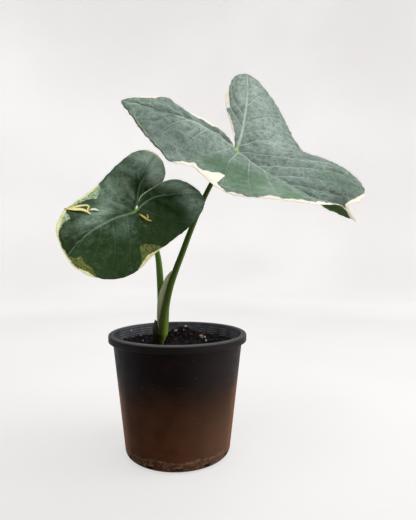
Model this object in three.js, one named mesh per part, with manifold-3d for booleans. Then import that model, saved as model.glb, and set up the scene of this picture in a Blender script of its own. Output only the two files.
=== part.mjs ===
// A potted xanthosoma: a thin nursery pot filled with soil, and a young plant with two leaves.
// Millimetres, Z up. The origin is the middle of the pot's flat underside, and the side that faces
// -Y is the front. Each leaf's margin is given by points measured from where its petiole meets it.

import * as THREE from 'three';
import { mergeVertices } from 'three/addons/utils/BufferGeometryUtils.js';
import Module from 'manifold-3d';

const wasm = await Module();
wasm.setup();

// Driving dimensions
const RIM_RADIUS = 66;
const POT_HEIGHT = 115;
const BODY_TOP_RADIUS = 61.7;
const BASE_RADIUS = 50.4;
const BASE_CORNER = 7;
const LIP_HEIGHT = 7;
const WALL = 1.6;
const FLOOR = 2.2;
const POT_SIDES = 60;
const DRAIN_HOLES = 12;
const DRAIN_WIDTH = 6;
const DRAIN_HEIGHT = 4.5;
const DRAIN_FOOT = 2.6;

const SOIL_LEVEL = 103.5;
const SOIL_SIDES = 44;
const SOIL_RINGS = 11;
const MOUND = { x: 6, y: 22, height: 7, spread: 380 };
const CLOD_HEIGHT = 0.9;
const CLEARANCE = 0.3;
const SEAT_GAP = 0.7;
const STEM_FOOT = 88;
const LARGE_FOOT = [-14.7, -6];
const LARGE_FOOT_RADIUS = 4.4;
const SMALL_FOOT = [-17.5, 4];
const SMALL_FOOT_RADIUS = 3;

const OLD_SHEATH_CENTRE = [-15.5, 0];
const OLD_SHEATH_RADIUS = 8.7;
const OLD_SHEATH_DIRECTION = 2.87;
const OLD_SHEATH_REACH = 1.05;
const OLD_SHEATH_TOP = 127;
const OLD_SHEATH_THICKNESS = 0.9;

const BLADE_THICKNESS = 0.9;
const BLADE_RINGS = 6;
const FEET = 7;
const RIB_SHARE = 0.82;
const NORMAL_REACH = 7;

// Where the petioles meet the blades
const LARGE_JOINT = new THREE.Vector3(56, 0, 290);
const SMALL_JOINT = new THREE.Vector3(-34, -45, 227);

// The large leaf. Three ribs run from the petiole: one into each lobe at the base, and the midrib.
// A margin runs from the notch at the petiole round a lobe to the tip. Of its points, ribEnd is
// where the lobe's rib points, and from waist[0] to waist[1] the blade is served from the petiole.
const LARGE_RIBS = {
  ahead: [
    [0, 0, 0], [24, -10, -21], [40, -18, -31], [53, -24, -41], [67, -29, -51], [82, -32, -60],
    [105, -34, -71],
  ],
  first: [[0, 0, 0], [3.8, 6, 10], [8.8, 22, 31], [13, 38, 54], [16, 55, 76], [18, 70, 96]],
  second: [
    [0, 0, 0], [-6, -2.5, 4.4], [-16, -7, 12], [-28, -14, 17], [-46, -28, 22], [-71, -40, 25],
    [-92, -54, 28],
  ],
};
const LARGE_BACK_MARGIN = {
  points: [
    [-1, 2, 3], [-2, 18, 21], [-5, 38, 41], [-8, 55, 61], [-6, 66, 81], [4, 72, 99], [16, 74, 102],
    [29, 74, 94], [47, 66, 67], [58, 56, 41], [65, 40, 18], [72, 30, 5], [92, 22, -4], [108, 10, -16],
    [117, -4, -30], [119, -16, -42], [111, -26, -51], [98, -34, -56], [105, -34, -71],
  ],
  ribEnd: 6,
  waist: [10, 11],
};
const LARGE_FRONT_MARGIN = {
  points: [
    [-1, 2, 3], [-5, -1, 9], [-14, -4, 18], [-29, -10, 26], [-47, -18, 32], [-63, -26, 41],
    [-80, -38, 38], [-94, -50, 33], [-99, -57, 28], [-92, -60, 18], [-81, -63, 3], [-67, -66, -13],
    [-55, -68, -25], [-40, -68, -28], [-22, -72, -44], [-5, -76, -53], [10, -82, -55],
    [29, -84, -57], [51, -78, -59], [70, -62, -59], [90, -44, -58], [105, -34, -71],
  ],
  ribEnd: 8,
  waist: [12, 14],
};

// The small leaf, in the same way. Its right lobe lies over its left lobe above the notch.
const SMALL_RIBS = {
  ahead: [
    [0, 0, 0], [-16.5, -5, -5.7], [-30, -11, -13.7], [-41, -19, -24], [-47, -24, -32],
    [-52, -23, -39],
  ],
  first: [[0, 0, 0], [1, 7.5, 13.6], [2, 15, 26], [7.3, 22, 38], [9, 27.5, 50]],
  second: [[0, 0, 0], [6.4, 3, 7], [16, 9, 13.8], [25.5, 13, 16], [40, 17, 18], [52, 18, 19]],
};
const SMALL_LEFT_MARGIN = {
  points: [
    [0.7, 0.6, 1.6], [0.5, 1.8, 4], [1.2, 3.6, 7.5], [5, 7, 11.5], [12, 12.5, 17.5], [19, 17, 25],
    [24, 21, 34], [22, 25, 47], [15, 29, 56], [6, 30, 60], [-5, 29, 58], [-17, 24, 48], [-27, 18, 36],
    [-35, 12, 25], [-45, 5, 15], [-56, -5, 4], [-61, -13, -6], [-62, -19, -16], [-57, -25, -28],
    [-52, -23, -39],
  ],
  ribEnd: 8,
  waist: [12, 14],
};
const SMALL_RIGHT_MARGIN = {
  points: [
    [0.7, 0.6, 1.6], [1.8, 1.2, 4], [1.8, 2, 7.5], [2.8, 3, 11.5], [6.2, 5, 16], [15, 10, 23],
    [24, 16, 29], [36, 19, 31], [48, 20, 26], [57, 19, 18], [60, 17, 9], [55, 14, -2], [46, 9, -13],
    [33, 3, -24], [18, -4, -36], [3, -11, -51], [-11, -16, -57], [-28, -21, -56], [-41, -25, -50],
    [-50, -26, -41], [-52, -23, -39],
  ],
  ribEnd: 9,
  waist: [12, 13],
};

const material = (color, roughness, metalness = 0) =>
  new THREE.MeshStandardMaterial({ color, roughness, metalness });

const vector = (list) => new THREE.Vector3(...list);

// A mesh from a list of corners and triangles
function geometryFrom(corners, triangles) {
  const geometry = new THREE.BufferGeometry();
  geometry.setAttribute('position', new THREE.Float32BufferAttribute(corners.flat(), 3));
  geometry.setIndex(triangles.flat());
  return geometry;
}

function toSolid(geometry) {
  const plain = geometry.clone();
  plain.deleteAttribute('normal');
  plain.deleteAttribute('uv');
  const merged = mergeVertices(plain, 1e-4);
  return new wasm.Manifold(new wasm.Mesh({
    numProp: 3,
    vertProperties: new Float32Array(merged.attributes.position.array),
    triVerts: new Uint32Array(merged.index.array),
  }));
}

function fromSolid(solid) {
  const mesh = solid.getMesh();
  const geometry = new THREE.BufferGeometry();
  const corners = new Float32Array(mesh.vertProperties);
  geometry.setAttribute('position', new THREE.BufferAttribute(corners, 3));
  geometry.setIndex(new THREE.BufferAttribute(new Uint32Array(mesh.triVerts), 1));
  return geometry;
}

// Turned shapes are made with Y as their axis, and stand up along Z here
function turned(profile, sides) {
  const points = profile.map(([radius, height]) => new THREE.Vector2(radius, height));
  return new THREE.LatheGeometry(points, sides).rotateX(Math.PI / 2);
}

const wallRadius = (height) => {
  const lipFoot = POT_HEIGHT - LIP_HEIGHT;
  return THREE.MathUtils.mapLinear(height, BASE_CORNER, lipFoot, BASE_RADIUS, BODY_TOP_RADIUS);
};

// Pot: a tapered thin wall with a rounded foot, a flat floor and a thick lip
function potGeometry() {
  const lipFoot = POT_HEIGHT - LIP_HEIGHT;
  const corner = [];
  for (let step = 0; step <= 4; step += 1) {
    const angle = (step / 4) * (Math.PI / 2);
    corner.push([
      BASE_RADIUS - BASE_CORNER + BASE_CORNER * Math.sin(angle),
      BASE_CORNER - BASE_CORNER * Math.cos(angle),
    ]);
  }
  const profile = [
    [0, 0],
    ...corner,
    [wallRadius(POT_HEIGHT * 0.5), POT_HEIGHT * 0.5],
    [BODY_TOP_RADIUS, lipFoot],
    [RIM_RADIUS - 1.2, lipFoot],
    [RIM_RADIUS, lipFoot + 1.4],
    [RIM_RADIUS, POT_HEIGHT - 1.8],
    [RIM_RADIUS - 1.5, POT_HEIGHT],
    [BODY_TOP_RADIUS + 0.2, POT_HEIGHT],
    [BODY_TOP_RADIUS - WALL, POT_HEIGHT - 1.8],
    [wallRadius(POT_HEIGHT * 0.5) - WALL, POT_HEIGHT * 0.5],
    [BASE_RADIUS - WALL, BASE_CORNER],
    [BASE_RADIUS - BASE_CORNER, FLOOR],
    [0, FLOOR],
  ];
  let pot = toSolid(turned(profile, POT_SIDES));
  for (let hole = 0; hole < DRAIN_HOLES; hole += 1) {
    const slot = new THREE.BoxGeometry(BASE_CORNER * 2.4, DRAIN_WIDTH, DRAIN_HEIGHT);
    slot.translate(BASE_RADIUS, 0, DRAIN_FOOT + DRAIN_HEIGHT / 2);
    slot.rotateZ(((hole + 0.15) / DRAIN_HOLES) * Math.PI * 2);
    pot = pot.subtract(toSolid(slot));
  }
  return fromSolid(pot);
}

// Height of the soil: level with a low mound behind the stem, and clods from crossed waves
function soilHeight(x, y) {
  const distance = (x - MOUND.x) ** 2 + (y - MOUND.y) ** 2;
  const mound = MOUND.height * Math.exp(-distance / MOUND.spread);
  const crossed = Math.sin(x * 0.41 + 1.3) * Math.sin(y * 0.37 + 0.4);
  const slanted = 0.6 * Math.sin(x * 0.83 - y * 0.71);
  return SOIL_LEVEL + mound + CLOD_HEIGHT * (crossed + slanted);
}

// Soil: fills the pot to a gap inside its wall, with holes for the petioles and the old sheath
function soilGeometry() {
  const wallGap = 2 * CLEARANCE;
  const lower = [
    [BASE_RADIUS - BASE_CORNER - wallGap, FLOOR + CLEARANCE],
    [BASE_RADIUS - WALL - wallGap, BASE_CORNER + 1],
  ];
  const corners = [[0, 0, FLOOR + CLEARANCE]];
  const ringOf = (radius, heightAt) => {
    for (let side = 0; side < SOIL_SIDES; side += 1) {
      const angle = (side / SOIL_SIDES) * Math.PI * 2;
      const x = radius * Math.cos(angle);
      const y = radius * Math.sin(angle);
      corners.push([x, y, heightAt(x, y)]);
    }
  };
  lower.forEach(([radius, height]) => ringOf(radius, () => height));
  const edge = wallRadius(SOIL_LEVEL - 3) - WALL - wallGap;
  for (let ring = SOIL_RINGS; ring > 0; ring -= 1) {
    ringOf((edge * ring) / SOIL_RINGS, soilHeight);
  }
  corners.push([0, 0, soilHeight(0, 0)]);
  const triangles = [];
  const ringCount = lower.length + SOIL_RINGS;
  const at = (ring, side) => 1 + ring * SOIL_SIDES + (side % SOIL_SIDES);
  for (let side = 0; side < SOIL_SIDES; side += 1) {
    triangles.push([0, at(0, side + 1), at(0, side)]);
    triangles.push([corners.length - 1, at(ringCount - 1, side), at(ringCount - 1, side + 1)]);
    for (let ring = 0; ring < ringCount - 1; ring += 1) {
      triangles.push([at(ring, side), at(ring, side + 1), at(ring + 1, side + 1)]);
      triangles.push([at(ring, side), at(ring + 1, side + 1), at(ring + 1, side)]);
    }
  }
  let soil = toSolid(geometryFrom(corners, triangles));
  const holes = [
    roundHole(LARGE_FOOT, LARGE_FOOT_RADIUS + CLEARANCE),
    roundHole(SMALL_FOOT, SMALL_FOOT_RADIUS + CLEARANCE),
    oldSheathGeometry(CLEARANCE),
  ];
  holes.forEach((hole) => {
    soil = soil.subtract(toSolid(hole));
  });
  return fromSolid(soil);
}

function roundHole([x, y], radius) {
  const depth = POT_HEIGHT - STEM_FOOT + CLEARANCE;
  const hole = new THREE.CylinderGeometry(radius, radius, depth, 20).rotateX(Math.PI / 2);
  return hole.translate(x, y, POT_HEIGHT - depth / 2);
}

// The dry sheath of an older leaf: a strip curled round the left of the stems, with its foot in
// the soil. Room makes it larger on every side, for the hole that it stands in.
function oldSheathGeometry(room) {
  const columns = 10;
  const rows = 5;
  const halfWall = OLD_SHEATH_THICKNESS / 2 + room;
  const foot = SOIL_LEVEL - 5 - room;
  const corners = [];
  for (let row = 0; row <= rows; row += 1) {
    const up = row / rows;
    const height = THREE.MathUtils.lerp(foot, OLD_SHEATH_TOP, up);
    const radius = OLD_SHEATH_RADIUS + 0.3 * Math.sin(Math.PI * up);
    for (let column = 0; column <= columns; column += 1) {
      const share = (column / columns) * 2 - 1;
      const turn = share * (OLD_SHEATH_REACH - 0.45 * up + 0.12 * room);
      const angle = OLD_SHEATH_DIRECTION - turn;
      const dip = 6 * up * Math.abs(turn) ** 1.5;
      [halfWall, -halfWall].forEach((offset) => {
        corners.push([
          OLD_SHEATH_CENTRE[0] + (radius + offset) * Math.cos(angle),
          OLD_SHEATH_CENTRE[1] + (radius + offset) * Math.sin(angle),
          height - dip,
        ]);
      });
    }
  }
  const at = (row, column, face) => (row * (columns + 1) + column) * 2 + face;
  const triangles = [];
  const quad = (a, b, c, d) => triangles.push([a, b, c], [a, c, d]);
  for (let row = 0; row < rows; row += 1) {
    for (let column = 0; column < columns; column += 1) {
      quad(at(row, column, 0), at(row + 1, column, 0), at(row + 1, column + 1, 0), at(row, column + 1, 0));
      quad(at(row, column, 1), at(row, column + 1, 1), at(row + 1, column + 1, 1), at(row + 1, column, 1));
    }
    quad(at(row, 0, 0), at(row, 0, 1), at(row + 1, 0, 1), at(row + 1, 0, 0));
    quad(at(row, columns, 1), at(row, columns, 0), at(row + 1, columns, 0), at(row + 1, columns, 1));
  }
  for (let column = 0; column < columns; column += 1) {
    quad(at(0, column, 1), at(0, column, 0), at(0, column + 1, 0), at(0, column + 1, 1));
    quad(at(rows, column, 0), at(rows, column, 1), at(rows, column + 1, 1), at(rows, column + 1, 0));
  }
  return geometryFrom(corners, triangles);
}

// A closed tube along a curve. radiusAt(along, angle) gives the distance from the curve, where
// along runs from 0 to 1 and angle 0 points as near to the given side as the curve allows.
function stalkGeometry(curve, steps, sides, side, radiusAt) {
  const corners = [];
  const triangles = [];
  for (let step = 0; step <= steps; step += 1) {
    const along = step / steps;
    const centre = curve.getPointAt(along);
    const tangent = curve.getTangentAt(along);
    const first = side.clone().addScaledVector(tangent, -side.dot(tangent)).normalize();
    const second = new THREE.Vector3().crossVectors(tangent, first);
    for (let spoke = 0; spoke < sides; spoke += 1) {
      const angle = (spoke / sides) * Math.PI * 2;
      const radius = radiusAt(along, angle);
      const corner = centre.clone();
      corner.addScaledVector(first, radius * Math.cos(angle));
      corner.addScaledVector(second, radius * Math.sin(angle));
      corners.push(corner.toArray());
    }
  }
  const at = (step, spoke) => step * sides + (spoke % sides);
  for (let step = 0; step < steps; step += 1) {
    for (let spoke = 0; spoke < sides; spoke += 1) {
      triangles.push([at(step, spoke), at(step, spoke + 1), at(step + 1, spoke + 1)]);
      triangles.push([at(step, spoke), at(step + 1, spoke + 1), at(step + 1, spoke)]);
    }
  }
  corners.push(curve.getPointAt(0).toArray(), curve.getPointAt(1).toArray());
  const foot = corners.length - 2;
  const head = corners.length - 1;
  for (let spoke = 0; spoke < sides; spoke += 1) {
    triangles.push([foot, at(0, spoke + 1), at(0, spoke)]);
    triangles.push([head, at(steps, spoke), at(steps, spoke + 1)]);
  }
  return geometryFrom(corners, triangles);
}

const smoothCurve = (points) => new THREE.CatmullRomCurve3(points.map(vector), false, 'centripetal');

// Where the rays of one half of a blade start and end, from the notch to the tip. They start from
// feet on the ribs: out along the lobe's rib, back to the petiole, and out along the midrib.
function halfRays(margin, ribName, steps) {
  const curve = smoothCurve(margin.points);
  const last = margin.points.length - 1;
  const marks = [0, margin.ribEnd, margin.waist[0], margin.waist[1], last];
  const feetAt = [
    (share) => [ribName, share],
    (share) => [ribName, 1 - share],
    () => [ribName, 0],
    (share) => ['ahead', share],
  ];
  const rays = [];
  feetAt.forEach((footAt, section) => {
    for (let step = 0; step < steps[section]; step += 1) {
      const share = step / steps[section];
      const place = THREE.MathUtils.lerp(marks[section], marks[section + 1], share) / last;
      const [rib, along] = footAt(share);
      rays.push({ end: curve.getPoint(place), rib, foot: Math.round(along * FEET) });
    }
  });
  rays.push({ end: curve.getPoint(1), rib: 'ahead', foot: FEET });
  return rays;
}

// A blade: rays run from the ribs to the margin and bulge upwards on their way, less and less
// along the midrib, so that the tip lies flat and the midrib stays in a valley
function bladeGeometry(joint, ribs, margins, steps, bulge) {
  const firstRays = halfRays(margins[0], 'first', steps[0]);
  const secondRays = halfRays(margins[1], 'second', steps[1]).reverse();
  const rays = [...firstRays, ...secondRays.slice(1, -1)];

  const normal = new THREE.Vector3();
  rays.forEach((ray, index) => {
    normal.add(new THREE.Vector3().crossVectors(ray.end, rays[(index + 1) % rays.length].end));
  });
  const turn = normal.z > 0 ? 1 : -1;
  normal.multiplyScalar(turn).normalize();

  // Corners on the ribs come first, with the petiole's own corner shared by the three
  const middle = [new THREE.Vector3()];
  const footIndex = {};
  Object.entries(ribs).forEach(([name, points]) => {
    const rib = smoothCurve(points);
    footIndex[name] = [0];
    for (let foot = 1; foot <= FEET; foot += 1) {
      footIndex[name].push(middle.length);
      middle.push(rib.getPointAt((foot / FEET) * RIB_SHARE));
    }
  });
  const ribCorners = middle.length;
  rays.forEach(({ end, rib, foot }) => {
    const start = middle[footIndex[rib][foot]];
    const share = rib === 'ahead' ? 1 - foot / FEET : 1;
    const rise = bulge * share * start.distanceTo(end);
    for (let ring = 1; ring <= BLADE_RINGS; ring += 1) {
      const along = ring / BLADE_RINGS;
      const corner = start.clone().lerp(end, along);
      middle.push(corner.addScaledVector(normal, rise * 4 * along * (1 - along)));
    }
  });
  middle.forEach((corner) => corner.add(joint));

  const at = (ray, ring) => ribCorners + (ray % rays.length) * BLADE_RINGS + ring;
  const faces = [];
  rays.forEach((ray, index) => {
    const next = rays[(index + 1) % rays.length];
    const here = footIndex[ray.rib][ray.foot];
    const there = footIndex[next.rib][next.foot];
    faces.push([here, at(index, 0), at(index + 1, 0)]);
    if (here !== there) faces.push([here, at(index + 1, 0), there]);
    for (let ring = 0; ring < BLADE_RINGS - 1; ring += 1) {
      faces.push([at(index, ring), at(index, ring + 1), at(index + 1, ring + 1)]);
      faces.push([at(index, ring), at(index + 1, ring + 1), at(index + 1, ring)]);
    }
  });

  // The two faces lie half a thickness to each side, along normals averaged over a few millimetres,
  // so that they don't cross in the folds along the ribs
  const sheet = geometryFrom(middle.map((corner) => corner.toArray()), faces);
  sheet.computeVertexNormals();
  const own = middle.map((corner, index) =>
    new THREE.Vector3().fromBufferAttribute(sheet.attributes.normal, index));
  const softNormal = (corner) => {
    const sum = new THREE.Vector3();
    middle.forEach((other, index) => {
      sum.addScaledVector(own[index], Math.exp(-corner.distanceToSquared(other) / NORMAL_REACH ** 2));
    });
    return sum.normalize();
  };
  const offsets = middle.map(softNormal);
  const face = (distance) =>
    middle.map((corner, index) => corner.clone().addScaledVector(offsets[index], distance).toArray());
  const corners = [...face(BLADE_THICKNESS / 2), ...face(-BLADE_THICKNESS / 2)];
  const under = middle.length;
  const triangles = [...faces, ...faces.map(([a, b, c]) => [under + a, under + c, under + b])];
  rays.forEach((ray, index) => {
    const here = at(index, BLADE_RINGS - 1);
    const next = at(index + 1, BLADE_RINGS - 1);
    triangles.push([here, under + here, under + next], [here, under + next, next]);
  });
  return { geometry: geometryFrom(corners, triangles), jointNormal: offsets[0].multiplyScalar(turn) };
}

// A thin ribbon that grows out of a blade: its first point lies inside the blade
function ribbonGeometry(joint, points, halfWidth) {
  const curve = new THREE.CatmullRomCurve3(points.map((point) => vector(point).add(joint)));
  const halfThickness = 0.45;
  return stalkGeometry(curve, 7, 8, new THREE.Vector3(0, 0.3, 1), (along, angle) => {
    const width = halfWidth * (1 - 0.5 * along);
    return 1 / Math.hypot(Math.cos(angle) / width, Math.sin(angle) / halfThickness);
  });
}

const plant = new THREE.Group();

function add(name, geometry, look) {
  const mesh = new THREE.Mesh(geometry, look);
  mesh.name = name;
  plant.add(mesh);
}

add('pot', potGeometry(), material(0x2b1d17, 0.45));
add('soil', soilGeometry(), material(0x1d1915, 0.95));

// Rays in each section of the first and of the second margin
const LARGE_STEPS = [[16, 12, 3, 18], [18, 12, 8, 16]];
const SMALL_STEPS = [[16, 12, 4, 12], [16, 10, 3, 16]];
const LARGE_MARGINS = [LARGE_BACK_MARGIN, LARGE_FRONT_MARGIN];
const SMALL_MARGINS = [SMALL_LEFT_MARGIN, SMALL_RIGHT_MARGIN];
const largeBlade = bladeGeometry(LARGE_JOINT, LARGE_RIBS, LARGE_MARGINS, LARGE_STEPS, 0.04);
const smallBlade = bladeGeometry(SMALL_JOINT, SMALL_RIBS, SMALL_MARGINS, SMALL_STEPS, 0.03);

// Petioles: a tube from the soil to just under the blade, which it meets square on
function petioleCurve(points, joint, normal) {
  const seat = joint.clone().addScaledVector(normal, -(BLADE_THICKNESS / 2 + SEAT_GAP));
  const bend = joint.clone().addScaledVector(normal, -4);
  return new THREE.CatmullRomCurve3([...points.map(vector), bend, seat], false, 'centripetal');
}

const largeCurve = petioleCurve([
  [LARGE_FOOT[0], LARGE_FOOT[1], STEM_FOOT], [LARGE_FOOT[0], LARGE_FOOT[1], 104],
  [-14.6, -6, 118], [-12.6, -5.6, 137], [-7.8, -5, 160], [-1.6, -4.4, 177], [3.9, -4, 190],
  [13.7, -3.4, 216], [30.5, -2, 254.5], [45, 0, 277],
], LARGE_JOINT, largeBlade.jointNormal);

const smallCurve = petioleCurve([
  [SMALL_FOOT[0], SMALL_FOOT[1], STEM_FOOT], [SMALL_FOOT[0], SMALL_FOOT[1], 112],
  [-17.3, 3, 130], [-16.8, 0, 150], [-16.9, -7, 172], [-18, -17, 191], [-22.5, -29, 209],
  [-29, -38, 220],
], SMALL_JOINT, smallBlade.jointNormal);

const ramp = (value, from, to) => THREE.MathUtils.smoothstep(value, from, to);

// The large petiole is thick where it sheathes the stem, and carries a thin wing on its left,
// highest at a third of its length
function largeRadius(along, angle) {
  const height = largeCurve.getPointAt(along).z;
  const foot = LARGE_FOOT_RADIUS - 0.2;
  const swelling = 1.5 * ramp(height, 103, 116) * (1 - ramp(height, 122, 146));
  const taper = 1.9 * ramp(height, 118, 270);
  const wing = 5 * ramp(height, 116, 142) * (1 - ramp(height, 158, 177));
  const ridge = Math.max(Math.cos(angle), 0) ** 60;
  return foot + swelling - taper + wing * ridge;
}

function smallRadius(along) {
  return SMALL_FOOT_RADIUS - 0.1 - 1 * ramp(smallCurve.getPointAt(along).z, 150, 215);
}

const LEFT = new THREE.Vector3(-1, -0.25, 0);

add('petiole_large', stalkGeometry(largeCurve, 34, 20, LEFT, largeRadius), material(0x3f5a22, 0.45));
add('petiole_small', stalkGeometry(smallCurve, 26, 12, LEFT, smallRadius), material(0x35501f, 0.45));
add('old_sheath', oldSheathGeometry(0), material(0x3c3228, 0.85));

add('leaf_large', largeBlade.geometry, material(0x6f8a78, 0.5));

// The small leaf carries three narrow outgrowths on its upper side
const RIBBONS = [
  {
    points: [[-55, -4, 3.5], [-51, -8, 3], [-43, -9.5, 4], [-36, -8, 2], [-33, -6.5, -2]],
    halfWidth: 1.8,
  },
  { points: [[-35, -2.4, 2], [-33, -5, 2.2], [-27, -4.6, 1]], halfWidth: 1.4 },
  { points: [[4, 0, -2], [8, -2.2, -4], [14, -1.6, -7]], halfWidth: 1.3 },
];
const smallLeaf = RIBBONS.reduce(
  (solid, { points, halfWidth }) => solid.add(toSolid(ribbonGeometry(SMALL_JOINT, points, halfWidth))),
  toSolid(smallBlade.geometry),
);
add('leaf_small', fromSolid(smallLeaf), material(0x2f4a2c, 0.5));

export default plant;
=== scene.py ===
"""Looks of the potted xanthosoma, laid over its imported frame.

Shapes are worked out in millimetres, in the frame's own axes, and MM turns them into metres as a
mesh is made. The side that faces -Y is the front.
"""

import bpy
import mathutils
import numpy as np
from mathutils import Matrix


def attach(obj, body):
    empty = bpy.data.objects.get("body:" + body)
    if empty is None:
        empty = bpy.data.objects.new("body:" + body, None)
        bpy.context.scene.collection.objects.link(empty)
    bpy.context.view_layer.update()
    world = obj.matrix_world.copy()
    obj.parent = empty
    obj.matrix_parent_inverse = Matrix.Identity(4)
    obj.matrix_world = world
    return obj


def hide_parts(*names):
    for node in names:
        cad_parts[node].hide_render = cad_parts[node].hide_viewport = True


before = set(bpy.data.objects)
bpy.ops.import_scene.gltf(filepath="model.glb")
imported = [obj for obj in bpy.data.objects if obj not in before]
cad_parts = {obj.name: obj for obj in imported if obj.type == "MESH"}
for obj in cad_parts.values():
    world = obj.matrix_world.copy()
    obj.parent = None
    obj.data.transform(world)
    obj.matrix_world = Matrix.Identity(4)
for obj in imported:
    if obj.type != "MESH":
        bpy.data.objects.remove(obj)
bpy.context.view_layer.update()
scene = bpy.context.scene

MM = 0.001

# Driving dimensions, the same as the solids'
RIM_RADIUS = 66.0
POT_HEIGHT = 115.0
BODY_TOP_RADIUS = 61.7
BASE_RADIUS = 50.4
BASE_CORNER = 7.0
LIP_HEIGHT = 7.0
WALL = 1.6
FLOOR = 2.2
DRAIN_HOLES = 12
DRAIN_FOOT = 2.6
DRAIN_TOP = 7.1
DRAIN_TURN = 0.15

SOIL_LEVEL = 103.5
MOUND = (6.0, 22.0)
MOUND_HEIGHT = 7.0
MOUND_SPREAD = 380.0
STEM_FOOT = 88.0
LARGE_FOOT = (-14.7, -6.0)
SMALL_FOOT = (-17.5, 4.0)
OLD_SHEATH_CENTRE = (-15.5, 0.0)
OLD_SHEATH_DIRECTION = 2.87
OLD_SHEATH_TOP = 127.0

BLADE_THICKNESS = 0.5
MEMBRANE_THICKNESS = 0.45
OLD_SHEATH_THICKNESS = 0.7
RIB_SHARE = 0.82

# The camera, fitted to the pot's rim, foot and sides
CAMERA_PLACE = (29.0, -434.0, 192.5)
CAMERA_TILT = 88.95
CAMERA_LENS = 31.15

# The blades. Points are measured from where the petiole meets the blade. Each lobe has a rib, and
# a margin from the notch round the lobe to the tip. Marks along a margin, counted in its points,
# part it into the lobe's inner side, its outer side, the waist and the side along the midrib, and
# rows and rings say how finely each of these is meshed. Ragged, pillow and fold are millimetres by
# which the margin wanders, the skin rises between veins and the margin rolls down. Roll is where
# a pale line on the margin, a painted highlight along the roll's ridge with painted shade outside
# it, starts and ends, and its depth. Keels end so far from the petiole.
LARGE_LEAF = {
    "joint": (56, 0, 290),
    "bulge": 0.04,
    "ahead": [
        (0, 0, 0), (24, -10, -21), (40, -18, -31), (53, -24, -41), (67, -29, -51), (82, -32, -60),
        (105, -34, -71),
    ],
    "ribs": [
        [(0, 0, 0), (3.8, 6, 10), (8.8, 22, 31), (13, 38, 54), (16, 55, 76), (18, 70, 96)],
        [
            (0, 0, 0), (-6, -2.5, 4.4), (-16, -7, 12), (-28, -14, 17), (-46, -28, 22), (-71, -40, 25),
            (-92, -54, 28),
        ],
    ],
    "margins": [
        [
            (-1, 2, 3), (-2, 18, 21), (-5, 38, 41), (-8, 55, 61), (-6, 66, 81), (4, 72, 99),
            (16, 74, 102), (29, 74, 94), (47, 66, 67), (58, 56, 41), (65, 40, 18), (72, 30, 5),
            (92, 22, -4), (108, 10, -16), (117, -4, -30), (119, -16, -42), (111, -26, -51),
            (98, -34, -56), (105, -34, -71),
        ],
        [
            (-1, 2, 3), (-5, -1, 9), (-14, -4, 18), (-29, -10, 26), (-47, -18, 32), (-63, -26, 41),
            (-80, -38, 38), (-94, -50, 33), (-99, -57, 28), (-92, -60, 18), (-81, -63, 3),
            (-67, -66, -13), (-55, -68, -25), (-40, -68, -28), (-22, -72, -44), (-5, -76, -53),
            (10, -82, -55), (29, -84, -57), (51, -78, -59), (70, -62, -59), (90, -44, -58),
            (105, -34, -71),
        ],
    ],
    "marks": [(0, 6, 10, 11, 18), (0, 8, 12, 14, 21)],
    "rows": [(96, 96, 14, 112), (96, 96, 26, 112)],
    "rings": 58,
    "ragged": 0.5,
    "softening": 10,
    "pillow": 0.95,
    "fold": 1.8,
    "roll": (8.1, 12.0, 1.6),
    "keel_end": 90,
}
SMALL_LEAF = {
    "joint": (-34, -45, 227),
    "bulge": 0.03,
    "ahead": [
        (0, 0, 0), (-16.5, -5, -5.7), (-30, -11, -13.7), (-41, -19, -24), (-47, -24, -32),
        (-52, -23, -39),
    ],
    "ribs": [
        [(0, 0, 0), (1, 7.5, 13.6), (2, 15, 26), (7.3, 22, 38), (9, 27.5, 50)],
        [(0, 0, 0), (6.4, 3, 7), (16, 9, 13.8), (25.5, 13, 16), (40, 17, 18), (52, 18, 19)],
    ],
    "margins": [
        [
            (0.7, 0.6, 1.6), (0.5, 1.8, 4), (1.2, 3.6, 7.5), (5, 7, 11.5), (12, 12.5, 17.5), (19, 17, 25),
            (24, 21, 34), (22, 25, 47), (15, 29, 56), (6, 30, 60), (-5, 29, 58), (-17, 24, 48),
            (-27, 18, 36), (-35, 12, 25), (-45, 5, 15), (-56, -5, 4), (-61, -13, -6), (-62, -19, -16),
            (-57, -25, -28), (-52, -23, -39),
        ],
        [
            (0.7, 0.6, 1.6), (1.8, 1.2, 4), (1.8, 2, 7.5), (2.8, 3, 11.5), (6.2, 5, 16), (15, 10, 23),
            (24, 16, 29), (36, 19, 31), (48, 20, 26), (57, 19, 18), (60, 17, 9), (55, 14, -2),
            (46, 9, -13), (33, 3, -24), (18, -4, -36), (3, -11, -51), (-11, -16, -57), (-28, -21, -56),
            (-41, -25, -50), (-50, -26, -41), (-52, -23, -39),
        ],
    ],
    "marks": [(0, 8, 12, 14, 19), (0, 9, 12, 13, 20)],
    "rows": [(70, 70, 20, 90), (70, 70, 14, 90)],
    "rings": 48,
    "ragged": 0.22,
    "softening": 8,
    "pillow": 0.65,
    "fold": 0.0,
    "roll": (2.0, 6.8, 0.4),
    "keel_end": 45,
}

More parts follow.
